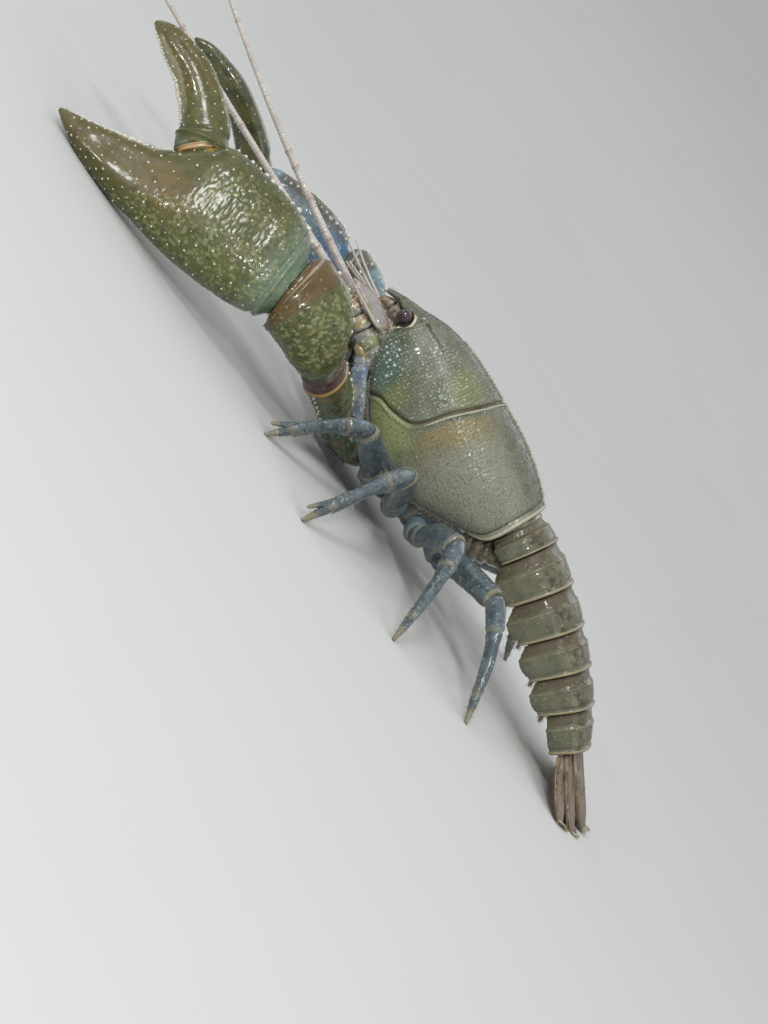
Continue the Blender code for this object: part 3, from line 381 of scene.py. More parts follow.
# %% [markdown]
# ## Finishes from small sums
#
# Every finish is a set of colour layers, each shown through a mask, and masks are sums of marks and
# noises. Wired by hand they take a node for every plus sign, so a small class lets a socket be used
# like a number in Python, and each sum adds its Math node by itself.

# %% A socket that behaves like a number
def tint(red, green, blue):
    """A colour from 0 to 255 in the shader's linear numbers, paler because a wet coat deepens it."""
    grey = (red + green + blue) / 3
    paler = [grey + (v - grey) * 0.86 for v in (red, green, blue)]
    return (*(((v / 255 + 0.055) / 1.055) ** 2.4 for v in paler), 1)


class Value:
    """One output socket of a finish's node tree."""

    def __init__(self, finish, socket):
        self.finish = finish
        self.socket = socket

    def sum(self, operation, first, second):
        return self.finish.node("Math", {"operation": operation}, {0: first, 1: second})

    def __add__(self, other):
        return self.sum("ADD", self, other)

    def __sub__(self, other):
        return self.sum("SUBTRACT", self, other)

    def __rsub__(self, other):
        return self.sum("SUBTRACT", other, self)

    def __mul__(self, other):
        return self.sum("MULTIPLY", self, other)

    __radd__ = __add__
    __rmul__ = __mul__


class Finish:
    """A material under construction: its shader, its nodes and the layers painted so far."""

    def __init__(self, name, colour, glow=None, **fixed):
        self.material = bpy.data.materials.new(name)
        self.material.use_nodes = True
        self.tree = self.material.node_tree
        self.shader = self.tree.nodes["Principled BSDF"]
        fixed = {"Specular_IOR_Level": 0.28, **fixed}
        if glow:
            fixed.update(Subsurface_Weight=glow[0], Subsurface_Radius=[reach * MM for reach in glow[1:]])
        for socket, value in fixed.items():
            self.shader.inputs[socket.replace("_", " ")].default_value = value
        object_place = self.node("TexCoord", {}, {}, "Object")
        self.place = self.node("VectorMath", {"operation": "SCALE"}, {0: object_place, "Scale": 1 / MM})
        self.colour = tint(*colour)

    def node(self, kind, settings, sockets, out=0):
        """Any node: its settings first, then the values or links of its sockets."""
        made = self.tree.nodes.new("ShaderNode" + kind)
        for key, value in settings.items():
            setattr(made, key, value)
        for key, value in sockets.items():
            self.plug(made.inputs[key], value)
        return Value(self, made.outputs[out])

    def plug(self, socket, value):
        if isinstance(value, Value):
            self.tree.links.new(value.socket, socket)
        else:
            socket.default_value = value

    def mark(self, name):
        return self.node("Attribute", {"attribute_name": name}, {}, "Fac")

    def noise(self, size, detail=3):
        """A soft noise whose swellings are about size millimetres across."""
        return self.node("TexNoise", {}, {"Vector": self.place, "Scale": 1 / size, "Detail": detail})

    def dots(self, size, low, high):
        """Round spots about size millimetres apart, 1 in their middles."""
        gap = self.node("TexVoronoi", {}, {"Vector": self.place, "Scale": 1 / size}, "Distance")
        return self.ramp(gap, high, low)

    def ramp(self, value, low, high, start=0, end=1):
        return self.node(
            "MapRange", {"interpolation_type": "SMOOTHSTEP"}, {0: value, 1: low, 2: high, 3: start, 4: end}
        )

    def paint(self, colour, mask):
        """Lay a colour over what is painted so far, where the mask is 1."""
        settings = {"data_type": "RGBA"}
        self.colour = self.node("Mix", settings, {0: mask, 6: self.colour, 7: tint(*colour)}, 2)
        return self

    def cloud(self, colour, size, low, high, most=1, detail=3):
        """Paint cloudy patches, about size millimetres across."""
        return self.paint(colour, self.ramp(self.noise(size, detail), low, high, 0, most))

    def tops(self, mark, colour, low, high, most):
        """Paint where a mark stands high, as on the tops of grains."""
        return self.paint(colour, self.ramp(self.mark(mark), low, high, 0, most))

    def layer(self, name, colour, ragged=0.6, size=1.2, most=1, soft=0.2):
        """Paint where a mark is, with a cloudy edge."""
        mask = self.mark(name) + (self.noise(size) - 0.5) * ragged
        return self.paint(colour, self.ramp(mask, 0.5 - soft, 0.5 + soft, 0, most))

    def speckle(self, colour, size, low, high, most):
        """Paint round spots."""
        return self.paint(colour, self.dots(size, low, high) * most)

    def done(self, rough=(0.3, 0.5), rough_size=0.8, coat=(0.4, 0.9), bump=0, bump_size=0.2):
        """Wire the colour, an uneven wetness and a fine tooth into the shader."""
        wet = self.noise(rough_size * 3, 2)
        self.plug(self.shader.inputs["Base Color"], self.colour)
        self.plug(self.shader.inputs["Roughness"], self.ramp(self.noise(rough_size), 0.3, 0.7, *rough))
        self.plug(self.shader.inputs["Coat Weight"], self.ramp(wet, 0.35, 0.65, *coat))
        if bump:
            tooth = self.node(
                "Bump", {}, {"Strength": bump, "Distance": 0.1 * MM, "Height": self.noise(bump_size, 4)}
            )
            self.plug(self.shader.inputs["Normal"], tooth)
        return self.material


print("olive is", [round(v, 3) for v in tint(95, 110, 80)])


# %% [markdown]
# ## The camera, the floor and the light
#
# The animal was seen from its left side, a little from above, with its head up and to the left. So the
# camera stands square to the left side, ten degrees up, and is rolled until the body lies across the
# picture as it did. A long lens keeps the near claw from looking swollen.

# %% The camera at the picture's angle
CAMERA_TARGET = Vector((5, 29.4, 3.2)) * MM
CAMERA_AWAY = 0.4
CAMERA_AZIMUTH, CAMERA_ELEVATION, CAMERA_ROLL = (math.radians(v) for v in (90, 10, 56))
camera = bpy.data.objects.new("camera", bpy.data.cameras.new("camera"))
camera.data.lens = 88.5
camera.data.sensor_width = 36
camera.data.clip_start = 0.01
level = math.cos(CAMERA_ELEVATION)
forward = Vector(
    (-math.sin(CAMERA_AZIMUTH) * level, math.cos(CAMERA_AZIMUTH) * level, -math.sin(CAMERA_ELEVATION))
)
turn = forward.to_track_quat("-Z", "Y").to_matrix().to_4x4() @ Matrix.Rotation(CAMERA_ROLL, 4, "Z")
camera.matrix_world = Matrix.Translation(CAMERA_TARGET - forward * CAMERA_AWAY) @ turn
bpy.context.scene.collection.objects.link(camera)
bpy.context.scene.camera = camera
print("the camera is", round(camera.location.z / MM), "mm over the floor")

# %% [markdown]
# A flat floor would end in a hard horizon. A photographer uses a paper sweep that curves up behind
# the subject, and a round dish does the same from every side: flat round the animal, then rising more
# and more. It is pale grey, because a dark, wet animal needs quiet around it.

# %% A round paper sweep
FLAT_RADIUS, SWEEP_RADIUS, SWEEP_HEIGHT = 0.45, 3.4, 1.7
SWEEP_SIDES, SWEEP_STEPS = 96, 24


def paper_sweep():
    climb = np.linspace(0, 1, SWEEP_STEPS + 1)
    radius = np.concatenate([[0.15, 0.3], FLAT_RADIUS + (SWEEP_RADIUS - FLAT_RADIUS) * climb])
    height = np.concatenate([[0, 0], SWEEP_HEIGHT * climb**2])
    angle = 2 * np.pi * np.arange(SWEEP_SIDES) / SWEEP_SIDES
    rings = np.stack(np.broadcast_arrays(
        radius[:, None] * np.cos(angle), radius[:, None] * np.sin(angle), height[:, None]
    ), -1)
    index = np.arange(rings.size // 3).reshape(len(radius), SWEEP_SIDES)
    beside = np.roll(index, -1, 1)
    quads = np.stack([index[:-1], index[1:], beside[1:], beside[:-1]], -1).reshape(-1, 4)
    mesh = bpy.data.meshes.new("paper_sweep")
    mesh.from_pydata(rings.reshape(-1, 3).tolist(), [], [list(range(SWEEP_SIDES)), *quads.tolist()])
    mesh.shade_smooth()
    paper = Finish("pale_paper", (196, 196, 193)).cloud((194, 193, 190), 60, 0.4, 0.7, 0.5)
    mesh.materials.append(paper.done(rough=(0.8, 0.9), coat=(0, 0)))
    made = bpy.data.objects.new("paper_sweep", mesh)
    made.location.z = -0.02 * MM
    bpy.context.scene.collection.objects.link(made)
    made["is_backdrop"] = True


paper_sweep()
print("the sweep rises to", SWEEP_HEIGHT, "m")

# %% [markdown]
# Wet shell is read by its highlights: wide soft ones show the form, and small hard ones say that it
# is wet. So four wide panels give the soft light, and two small ones the sparkle. None shows itself to
# the camera.

# %% Soft panels and small sparks
LIGHTS = (
    ("key_panel", (0.85, -0.54, 0.92), 0.3, 5.2),
    ("fill_panel", (0.7, 0.85, 0.55), 0.65, 1.2),
    ("back_panel", (-0.85, 0.08, 0.7), 0.65, 0.9),
    ("front_panel", (-0.15, -1.1, 0.52), 0.6, 1.1),
    ("spark_high", (0.5, 0.02, 0.3), 0.05, 0.7),
    ("spark_low", (0.35, -0.25, 0.16), 0.03, 0.25),
)


def light_panel(name, place, width, power):
    lamp = bpy.data.objects.new(name, bpy.data.lights.new(name, "AREA"))
    lamp.data.shape = "DISK"
    lamp.data.size = width
    lamp.data.energy = power
    lamp.location = place
    lamp.rotation_euler = (Vector((0, 0, 0.01)) - lamp.location).to_track_quat("-Z", "Y").to_euler()
    lamp.visible_camera = False
    bpy.context.scene.collection.objects.link(lamp)


for panel in LIGHTS:
    light_panel(*panel)
sky = bpy.data.worlds.new("soft_room")
sky.use_nodes = True
sky.node_tree.nodes["Background"].inputs["Color"].default_value = (0.94, 0.97, 1, 1)
sky.node_tree.nodes["Background"].inputs["Strength"].default_value = 0.8
bpy.context.scene.world = sky
bpy.context.scene.view_settings.view_transform = "Standard"
print("lights:", len(LIGHTS))


# %% [markdown]
# ## The shell of head and chest
#
# One plate covers the head and the chest. Its form is a set of curves along the body: the line of the
# back, the lower edge, the greatest width and how high that lies. Going round is a share from 0, the
# midline of the back, to 1, the midline below. The plate is then a plain grid over back and share.

# %% The shell's form
BACK_LINE = ((0, 0), (4.5, 3.1), (9.7, 6.2), (16.8, 8.05), (24.3, 8.7), (31, 9), (37, 8.5), (43.5, 7))
LOWER_EDGE = (
    (6, -3.9), (9.5, -6.6), (11.7, -8.1), (15, -10.1), (19, -11.6),
    (23.5, -11.9), (31, -10.8), (35.7, -8.1), (39.8, -5.2), (43.5, -3.4),
)
HALF_WIDTH = ((5, 3.9), (8, 5), (12, 6.6), (17, 8.1), (24, 9.2), (31, 9.4), (38, 8.7), (43.5, 7.3))
WIDEST_UP = ((6, 0), (12, -1.5), (20, -3), (32, -2.6), (43.5, -0.5))
EDGE_TUCK, UNDERSIDE_RISE, BACK_SQUARENESS = 0.64, 1.5, 0.9
ROUND_WIDEST, ROUND_EDGE = 0.46, 0.82
FRONT_LINE = (
    (0, 0), (0.047, 0.25), (0.08, 0.7), (0.137, 3), (0.183, 5.5), (0.1865, 6.9), (0.24, 7.35),
    (0.3, 7.3), (0.38, 7.1), (0.47, 6.5), (0.56, 6.1), (0.7, 8.4), (0.82, 10.6), (1, 10.6),
)
GROOVE = (
    (0, 24.3), (0.2, 23.4), (0.36, 22.1), (0.46, 21.6), (0.51, 20.8),
    (0.57, 18), (0.63, 15.3), (0.71, 14.1), (0.82, 13.6), (1, 13.6),
)
BEAK_EDGE = ((0, 0.03), (0.7, 0.07), (3, 0.125), (5.5, 0.168), (12, 0.2))
REAR_LINE = ((0, 42.4), (0.3, 42.8), (0.46, 43), (0.62, 42.6), (0.72, 41.4), (0.82, 39.8), (1, 39.8))


def shell(back, share):
    """How far out and up the shell lies at a distance back and a share of the way round."""
    top, edge = curve(BACK_LINE, back), curve(LOWER_EDGE, back)
    middle, half = curve(WIDEST_UP, back), curve(HALF_WIDTH, back)
    high = np.pi / 2 * np.clip(1 - share / ROUND_WIDEST, 0, 1)
    low = np.pi / 2 * np.clip((share - ROUND_WIDEST) / (ROUND_EDGE - ROUND_WIDEST), 0, 1)
    inward = np.clip((share - ROUND_EDGE) / (1 - ROUND_EDGE), 0, 1)
    out = half * np.cos(high) ** BACK_SQUARENESS * (EDGE_TUCK + (1 - EDGE_TUCK) * np.cos(low))
    up = middle + (top - middle) * np.sin(high) + (edge - middle) * np.sin(low)
    return out * (1 - inward), up + UNDERSIDE_RISE * np.sin(inward * np.pi / 2)


SHELL_ROWS, SHELL_COLUMNS = 420, 440
half_round = np.linspace(0, 1, SHELL_COLUMNS // 2 + 1)
side_share = np.interp(half_round, (0, 0.25, 0.85, 1), (0, 0.2, 0.84, 1))
share = np.concatenate([side_share, side_share[-2:0:-1]])[None, :]
side = np.where(np.arange(SHELL_COLUMNS) <= SHELL_COLUMNS // 2, LEFT, RIGHT)[None, :]
front, rear = curve(FRONT_LINE, share), curve(REAR_LINE, share)
back = front + (rear - front) * np.linspace(0, 1, SHELL_ROWS)[:, None]
share = np.broadcast_to(share, back.shape)
out, up = shell(back, share)
sheet = body(back, out * side, up)
print("shell sheet:", sheet.shape[:2], "reaches", round(float(sheet[..., 2].max()), 1), "mm high")

# %% [markdown]
# The sheet is now worked like clay. A groove crosses it behind the head. The beak's edges and the
# other rims are rolled beads, and a low ridge runs back from each eye. Then come the grains: crowded
# on the head, larger on the cheeks, and finer on the chest, which is pitted as much as grained.

# %% Grooves, beads, ridges and grains of the shell
groove_slope = (curve(GROOVE, share + 0.01) - curve(GROOVE, share - 0.01)) / 0.02
from_groove = (back - curve(GROOVE, share)) / np.sqrt(1 + (groove_slope / 30) ** 2)
from_front, from_rear = back - front, rear - back
on_head = fade(-0.3, 0.3, from_groove)
beak = fade(5, 10.5, back)
beak_edge = hill(share, curve(BEAK_EDGE, back), 0.02)
lower_bead = hill(share, 0.807, 0.012) * ease(10.5, 12, back)
lower_dent = hill(share, 0.775, 0.014) * ease(11.5, 13.5, back)
brow_ridge = hill(share, 0.232, 0.016) * within(7.6, 8.6, 11, 15, back)
brow_thorn = hill(share, 0.232, 0.014) * hill(back, 8.5, 0.55)
belly = ease(0.82, 0.86, share)
cheek = hill(back, 11.5, 3.2) * hill(share, 0.62, 0.13) * on_head
hollow = hill(back, 8.8, 1) * hill(share, 0.5, 0.05)

form = bands(from_groove, (-0.3, 0, 0.24), (0.14, 0.6, 0.3), (0.08, -0.7, 0.4))
form += 0.3 * beak_edge * beak - 0.18 * beak * hill(share, 0, 0.06)
form += 0.26 * hill(from_front, 0.25, 0.28) * (1 - beak * ease(0.19, 0.18, share))
form += 0.28 * lower_bead - 0.16 * lower_dent
form += 0.45 * brow_ridge + 0.5 * brow_thorn - 0.25 * hollow + 0.25 * cheek
form += bands(from_rear, (0.24, 0.35, 0.32), (-0.22, 1.2, 0.4)) + 0.1 * (clouds(sheet, 4.5, 3) - 0.5)

steps = np.linalg.norm(np.roll(sheet, -1, 1) - sheet, axis=-1)
arc = np.cumsum(steps, axis=1) - steps
FAR_SIDE_SHIFT = 300
arc = np.minimum(arc, steps.sum(axis=1, keepdims=True) - arc) + FAR_SIDE_SHIFT * (side < 0)
FLAT_SCATTER = np.array((0.42, 0.42, 0))


def even_grains(size, reach, seed):
    """Grains spread evenly over the unrolled shell, because in life they hardly ever touch."""
    unrolled = np.stack([back, arc, np.full_like(back, size / 2)], -1)
    return grains(unrolled, size, reach, seed, FLAT_SCATTER)


fine = even_grains(0.57, 0.28, 7)
pits = even_grains(0.8, 0.3, 19)
cheek_pearls = np.clip(1.5 * hill(back, 10.6, 3.2) * hill(share, 0.6, 0.15), 0, 1) * on_head
coarse = even_grains(1, 0.22, 31) * np.clip(cheek_pearls + 0.5 * hill(from_groove, 1, 0.5), 0, 1)
calm = (1 - 0.9 * belly) * (1 - 0.85 * hill(from_groove, 0.1, 0.5)) * ease(0, 0.3, from_front)
calm = calm * ease(0, 0.4, from_rear)
rim_beads = hill(from_groove, 0.6, 0.16) * np.clip(np.cos(2 * np.pi * arc / 0.62), 0, 1)
rim_beads = rim_beads * fade(0.4, 0.5, share)
grain = calm * (fine * (0.04 + 0.05 * on_head) + coarse * 0.13) + 0.16 * rim_beads
grain -= calm * pits * 0.05 * (1 - on_head)
sheet = raised(sheet, form + grain)
print("grains rise to", round(float(grain.max()), 2), "mm")

# %% [markdown]
# A sheet is not yet a solid. At the front its rim rolls in and runs back to the face, under the beak
# and behind the eyes, and at the rear it rolls in towards the tail's first ring. Each is a smooth
# curve through a few stations between the rim and a middle point.

# %% Rolling the rims in
LIP = 0.38
BEAK_DEPTH = 1.5
FACE_MIDDLE = (8.4, -2)
REAR_MIDDLE = (42, 1.4)


def rolled(rim, rim_back, rim_out, rim_up, middle, rows, deeper, least_back, narrower, flatter):
    """Rows that lead from a rim inwards to a middle point."""
    middle_back, middle_up = middle
    reach = np.hypot(rim_out, rim_up - middle_up)
    pull = 1 - LIP / np.maximum(reach, 1)
    lip = body(rim_back + 0.12 * deeper, rim_out * pull, middle_up + (rim_up - middle_up) * pull)
    lip += rim - body(rim_back, rim_out, rim_up)
    inner_back = np.maximum(rim_back + deeper, least_back)
    inner = body(inner_back, rim_out * narrower, middle_up + (rim_up - middle_up) * flatter)
    hub = np.broadcast_to(body(middle_back, 0, middle_up), rim.shape)
    stations = np.linspace(0, 0.97, rows + 1)[1:]
    return flow((0, 0.12, 0.6, 1), np.stack([rim, lip, inner, hub]), stations)


rim_side = side[0]
FACE_ROWS, REAR_ROWS = 36, 20
beak_root_up = curve(BACK_LINE, 8.2) - 2.2
under_beak = np.clip((0.19 - share[0]) / 0.02, 0, 1)
face = rolled(sheet[0], back[0], out[0] * rim_side, up[0], FACE_MIDDLE, FACE_ROWS, 0.9, 8.1, 0.66, 0.72)
beak_target = body(np.full_like(under_beak, 8.2), out[0] * rim_side * 0.8, beak_root_up)
stations = np.linspace(0, 0.97, FACE_ROWS + 1)[1:]
beak_depth = BEAK_DEPTH * ease(0.2, 5.5, back[0])
beak_lip = sheet[0] + body(0.1, 0, -LIP) - body(0, 0, 0)
beak_keel = body(back[0] + 0.35, out[0] * rim_side * 0.55, up[0] - LIP - beak_depth)
face_hub = np.broadcast_to(body(FACE_MIDDLE[0], 0, FACE_MIDDLE[1]), sheet[0].shape)
beak_under = np.stack([sheet[0], beak_lip, beak_keel, beak_target, face_hub])
beak_under = flow((0, 0.1, 0.32, 0.6, 1), beak_under, stations)
face = face + (beak_under - face) * under_beak[None, :, None]
tail_end = rolled(
    sheet[-1], back[-1], out[-1] * rim_side, up[-1], REAR_MIDDLE, REAR_ROWS, -0.8, 0, 0.84, 0.84
)
whole_shell = np.concatenate([face[::-1], sheet, tail_end])
print("closed shell:", whole_shell.shape[0] * whole_shell.shape[1] * 2, "triangles")


def with_ends(mark, front_value=0, rear_value=0):
    """A mark of the sheet, carried on over the rows that were rolled in."""
    mark = np.broadcast_to(mark, back.shape)
    columns = back.shape[1]
    return np.concatenate([
        np.full((FACE_ROWS, columns), front_value), mark, np.full((REAR_ROWS, columns), rear_value)
    ])


# %% [markdown]
# The colours of a live shell come in soft fields: olive grey over the head, teal on the cheek, sand
# behind the groove, a yellow-green gill cover, and slate to the rear and along the lower edge. Each
# field is a mark on the mesh, so it keeps its place, and noise frays its border.

# %% Fields of colour on the shell
fields = {
    "lime": on_head * (
        hill(back, 16, 2.6) * hill(share, 0.56, 0.1) + hill(back, 20, 3.4) * hill(share, 0.23, 0.11)),
    "cheek": np.clip(1.3 * hill(back, 10.8, 3.4) * hill(share, 0.6, 0.13), 0, 1) * on_head,
    "sand": within(0.8, 2, 2.5, 8, from_groove) * hill(share, 0.36, 0.2),
    "gill": np.clip(1.4 * hill(back, 19.4, 5.4) * hill(share, 0.65, 0.15), 0, 1) * (1 - on_head),
    "slate": ease(22, 31, back) * ease(0.12, 0.3, share),
    "chest": 1 - on_head,
    "crown": fade(0.03, 0.17, share),
    "edge": np.clip(hill(share, 0.8, 0.035) + belly, 0, 1),
    "bead": np.clip(
        0.8 * hill(from_front, 0.15, 0.2) * ease(0.46, 0.5, share)
        + hill(from_groove, 0.55, 0.17) * fade(0.42, 0.5, share) * 0.75 + rim_beads
        + 0.9 * hill(from_rear, 0.3, 0.35) + 0.8 * lower_bead, 0, 1),
    "brown": 0.95 * hill(from_groove, -0.04, 0.2),
    "dark": np.clip(0.6 * hill(from_rear, 1.2, 0.3) + 0.5 * lower_dent, 0, 1),
    "grain": np.clip(calm * fine * (0.58 + 0.52 * on_head), 0, 1),
    "pearl": np.clip(calm * coarse * 1.3, 0, 1),
    "mist": hill(back, 25, 4.5) * hill(share, 0.74, 0.07) * (1 - on_head),
    "dot": hill(np.hypot(back - 19.2, (share - 0.35) * 26), 0, 0.36),
}
marks = {name: with_ends(value) for name, value in fields.items()}
marks["face"] = with_ends(np.zeros_like(back), 1, 1)


def shell_finish():
    made = Finish("wet_olive_shell", (94, 99, 79), Coat_Roughness=0.09)
    made.cloud((114, 117, 100), 4, 0.4, 0.7, 0.8)
    made.cloud((62, 62, 44), 1.8, 0.5, 0.75, 0.6, 5)
    made.layer("slate", (136, 135, 116), 0.8, 2.4, 0.75, 0.42)
    made.layer("sand", (138, 122, 72), 0.7, 1.6, 0.75, 0.42)
    made.layer("gill", (144, 152, 98), 0.6, 1.6, 0.85, 0.42)
    made.layer("mist", (132, 148, 152), 0.6, 1.6, 0.8, 0.42)
    made.layer("lime", (120, 124, 68), 0.6, 1.4, 0.65, 0.42)
    made.layer("cheek", (72, 104, 90), 0.8, 1.2, 0.7, 0.42)
    made.layer("crown", (62, 56, 44), 0.8, 1.4, 0.8, 0.42)
    made.layer("edge", (112, 138, 150), 0.7, 1.2, 0.8, 0.42)
    speckle = made.dots(0.3, 0.18, 0.42) * made.mark("chest")
    made.paint((60, 62, 40), speckle * made.ramp(made.noise(1.6), 0.3, 0.6, 0.35, 0.9))
    made.tops("grain", (160, 164, 148), 0.35, 0.85, 0.7)
    made.tops("pearl", (200, 208, 204), 0.45, 0.9, 0.9)
    made.layer("dot", (146, 172, 164), 0.2, 0.6, 0.6)
    made.layer("bead", (180, 174, 146), 0.4, 0.6, 0.8)
    made.layer("brown", (84, 64, 34), 0.3, 0.5, 0.9, 0.35)
    made.layer("dark", (46, 34, 22), 0.3, 0.5, 0.95)
    made.layer("face", (120, 116, 104), 0, 1, 0.9)
    return made.done(rough=(0.26, 0.46), rough_size=0.5, coat=(0.2, 0.65), bump=0.25, bump_size=0.12)


skin("carapace", whole_shell, shell_finish(), marks, "carapace", "head", "thorax")
print("carapace marks:", len(marks))


# %% [markdown]
# ## The claws
#
# A claw limb is an arm, a wrist, a hand with its fixed finger, and a movable finger. Each is a grid
# whose cross-section is a squared oval, led by an outline: how far its two edges lie to the sides and
# how thick it is. The pose comes from the elbow, the wrist, the hand's aim and its roll. Both claws
# share the outlines, and the far one is smaller and slimmer.

# %% Sizes and pose of a claw
PALM_OUTLINE = (
    (0, 4.8, -4.6, 3.4), (1.3, 6.3, -7, 4), (2.8, 6.9, -8.8, 4.4), (6, 7.5, -10.3, 4.8),
    (10.5, 7.8, -11.4, 5.1), (15.5, 7.8, -11.9, 5.1), (18.6, 7.6, -12, 4.8), (20.2, 7.4, -11.4, 4.6),
    (22.9, 6.9, -8.7, 4.1), (25.6, 6.5, -5.9, 3.7), (28, 6.2, -4.2, 3.4), (32.5, 5.2, -2.8, 2.9),
    (37, 3.9, -1.6, 2.1), (40.6, 1.9, -0.8, 1.3), (42.3, 0.8, -0.4, 0.7), (42.9, 0.25, -0.25, 0.3),
)
FINGER_OUTLINE = (
    (0, 0, 4, 2.7), (1.5, 0.8, 4, 2.9), (3.8, 1.4, 3.7, 2.8), (9, 1.4, 3.2, 2.4),
    (12.5, 0.7, 3, 2.2), (15, -0.4, 2.7, 1.9), (18, -1.8, 1.9, 1.4), (19.7, -3, 1, 0.8),
    (20.4, -3.6, 0.3, 0.3),
)
FINGER_ROOT, FINGER_LEAN = (23.1, -8.6), math.radians(-44)
WRIST_SHAPE = (
    (0, 3, 2.6), (0.12, 4, 3.3), (0.25, 4.8, 3.9), (0.38, 5.5, 4.3), (0.52, 6.2, 4.6),
    (0.66, 6.7, 4.7), (0.8, 6.95, 4.75), (0.9, 7, 4.75), (0.96, 6.6, 4.4), (1, 5.6, 3.8),
)
WRIST_HANDLE = 0.38
ARM_HIP = (21.2, -14.9)
ARM_ROOT_OUT = 4.9
ARM_SHAPE = (
    (2.5, 2.6), (2.7, 2.7), (2.4, 2.3), (2.5, 2.3), (2.4, 2.2),
    (2.9, 2.5), (3.4, 2.9), (3.7, 3.1), (3.6, 3.1), (2.9, 2.5),
)


class Claw:
    """One claw's sizes and pose: places in it are along it, across it and through its face."""

    def __init__(self, side, size, slim, elbow, wrist, aim, roll, finger_length, finger_clear):
        self.side, self.size, self.narrow = side, size, size * slim
        self.name = ("left" if side == LEFT else "right") + "_claw"
        shift = np.array((0, SHIFT_BACK, 0))
        self.elbow, self.wrist = np.array(elbow) + shift, np.array(wrist) + shift
        self.finger_length, self.finger_clear = finger_length, finger_clear
        out, down, lean = (math.radians(v) for v in (*aim, roll))
        ahead = np.array((side * math.sin(out), -math.cos(out), 0))
        self.axis = ahead * math.cos(down) - UP * math.sin(down)
        outer = np.array((side * math.cos(lean), 0, math.sin(lean)))
        self.wide = unit(np.cross(outer, self.axis)) * side
        self.face = unit(np.cross(self.axis, self.wide)) * side

    def point(self, along, across, through):
        """Places in the claw, towards its tip, its fixed finger's edge and its outer face."""
        along, across, through = (np.asarray(v, float)[..., None] for v in (along, across, through))
        return self.wrist + self.axis * along + self.wide * across + self.face * through

    def inside(self, points):
        """The along, across and through of places."""
        way = points - self.wrist
        return way @ self.axis, way @ self.wide, way @ self.face


near = Claw(LEFT, 1, 1, (23.5, 5.5, 11), (28.5, -6.5, 14.33), (6, 17.3), 28, 1, 0)
far = Claw(RIGHT, 0.9, 0.86, (-19.5, 3, 11.5), (-21, -9, 15.1), (-7, 22.2), 18, 1.25, 0.2)
print("the near hand heads", [round(float(v), 2) for v in near.axis])

# %% [markdown]
# On the hand's outer half short ridges like grains of rice lie along it, the inner edge carries knobs,
# and a shallow valley runs down the middle. The ridges are grains measured in a stretched space:
# squeezed along the claw, they come out long.

# %% The hand and its fixed finger
def hand_grid(claw, rows, columns):
    """The hand's smooth form, with the place along it and round it of each point."""
    stations, *columns_of = zip(*PALM_OUTLINE)
    place = np.interp(np.linspace(0, 1, rows), (0, 0.03, 0.94, 1), (0, 0.9, 40.8, 42.9))
    fixed, moving, thick = (np.interp(place, stations, column) for column in columns_of)
    soft = np.ones(9) / 9
    fixed, thick = (np.convolve(np.pad(v, 4, "edge"), soft, "valid") for v in (fixed, thick))
    middle, half = (fixed + moving) / 2, (fixed - moving) / 2
    angle = 2 * np.pi * np.arange(columns) / columns
    c, s = (np.sign(v) * np.abs(v) ** 0.85 for v in (np.cos(angle), np.sin(angle)))
    across = (middle[:, None] + half[:, None] * c) * claw.narrow
    through = thick[:, None] * s * claw.narrow
    grid = claw.point(place[:, None] * claw.size + 0 * across, across, through)
    return grid, np.broadcast_to(place[:, None], across.shape), np.broadcast_to(angle, across.shape)


def rice(claw, points, long, wide, seed):
    """Grains stretched along the claw."""
    along, across, through = claw.inside(points)
    return grains(np.stack([along / long, across / wide, through / wide], -1), 1, 0.55, seed)


def hand_marks(claw, points, place, angle):
    inner, outer = hill(angle, np.pi, 0.75), np.clip(np.cos(angle), 0, 1)
    return {
        "rice": rice(claw, points, 0.68, 0.46, 3) * fade(-4, 5, place - 19 - 13 * outer)
        * (0.3 + 0.7 * ease(-0.95, -0.3, np.cos(angle))),
        "fine": grains(points, 0.62, 0.45, 8) * (1 - 0.9 * ease(12, 24, place)),
        "middle": hill(points @ claw.wide - claw.wrist @ claw.wide - 0.5, 0, 4) * ease(13, 22, place),
        "tip": ease(37, 42, place),
        "finger": ease(24, 30, place),
        "neck": fade(0, 8.5, place),
        "inner": inner * within(0.8, 2, 16, 20, place),
        "outer": outer,
        "hinge": hill(place, 21.6, 1.1) * inner,
        "cut": inner * ease(25, 27, place),
    }


def hand(claw, finish, rows, columns):
    grid, place, angle = hand_grid(claw, rows, columns)
    marks = hand_marks(claw, grid, place, angle)
    ends = within(0.3, 1.2, 41, 42.6, place)
    valley = hill(angle, 1.75, 0.45) * within(4, 9, 33, 38, place)
    keel = hill(angle, 0.95, 0.28) * within(15, 24, 38, 41, place)
    form = 0.055 * marks["rice"] + 0.03 * marks["fine"] - 0.4 * valley + 0.22 * keel
    form += 0.3 * (clouds(grid, 7, 12, 1) - 0.5) * ease(1.5, 4, place)
    form += bands(place, (0.25, 1.6, 0.35), (-0.25, 2.4, 0.35))
    form -= 0.22 * hill(place, 24.5, 0.5) * hill(angle, np.pi, 0.8)
    grid = raised(grid, form * ends * claw.narrow)
    grid[..., 2] = np.maximum(grid[..., 2], 0)
    skin(claw.name + "_palm_shell", grid, finish, marks, claw.slot, claw.name + "_palm")
    claw.hand = grid
    return grid.shape


near.slot, far.slot = "near_claw", "far_claw"


# %% [markdown]
# The near claw is olive with paler rice grains, amber towards the fingers and teal at the wrist. The
# far one is steel blue with brown margins. One function paints both from a list of layers, because
# the pattern is the same and only the palette changes.

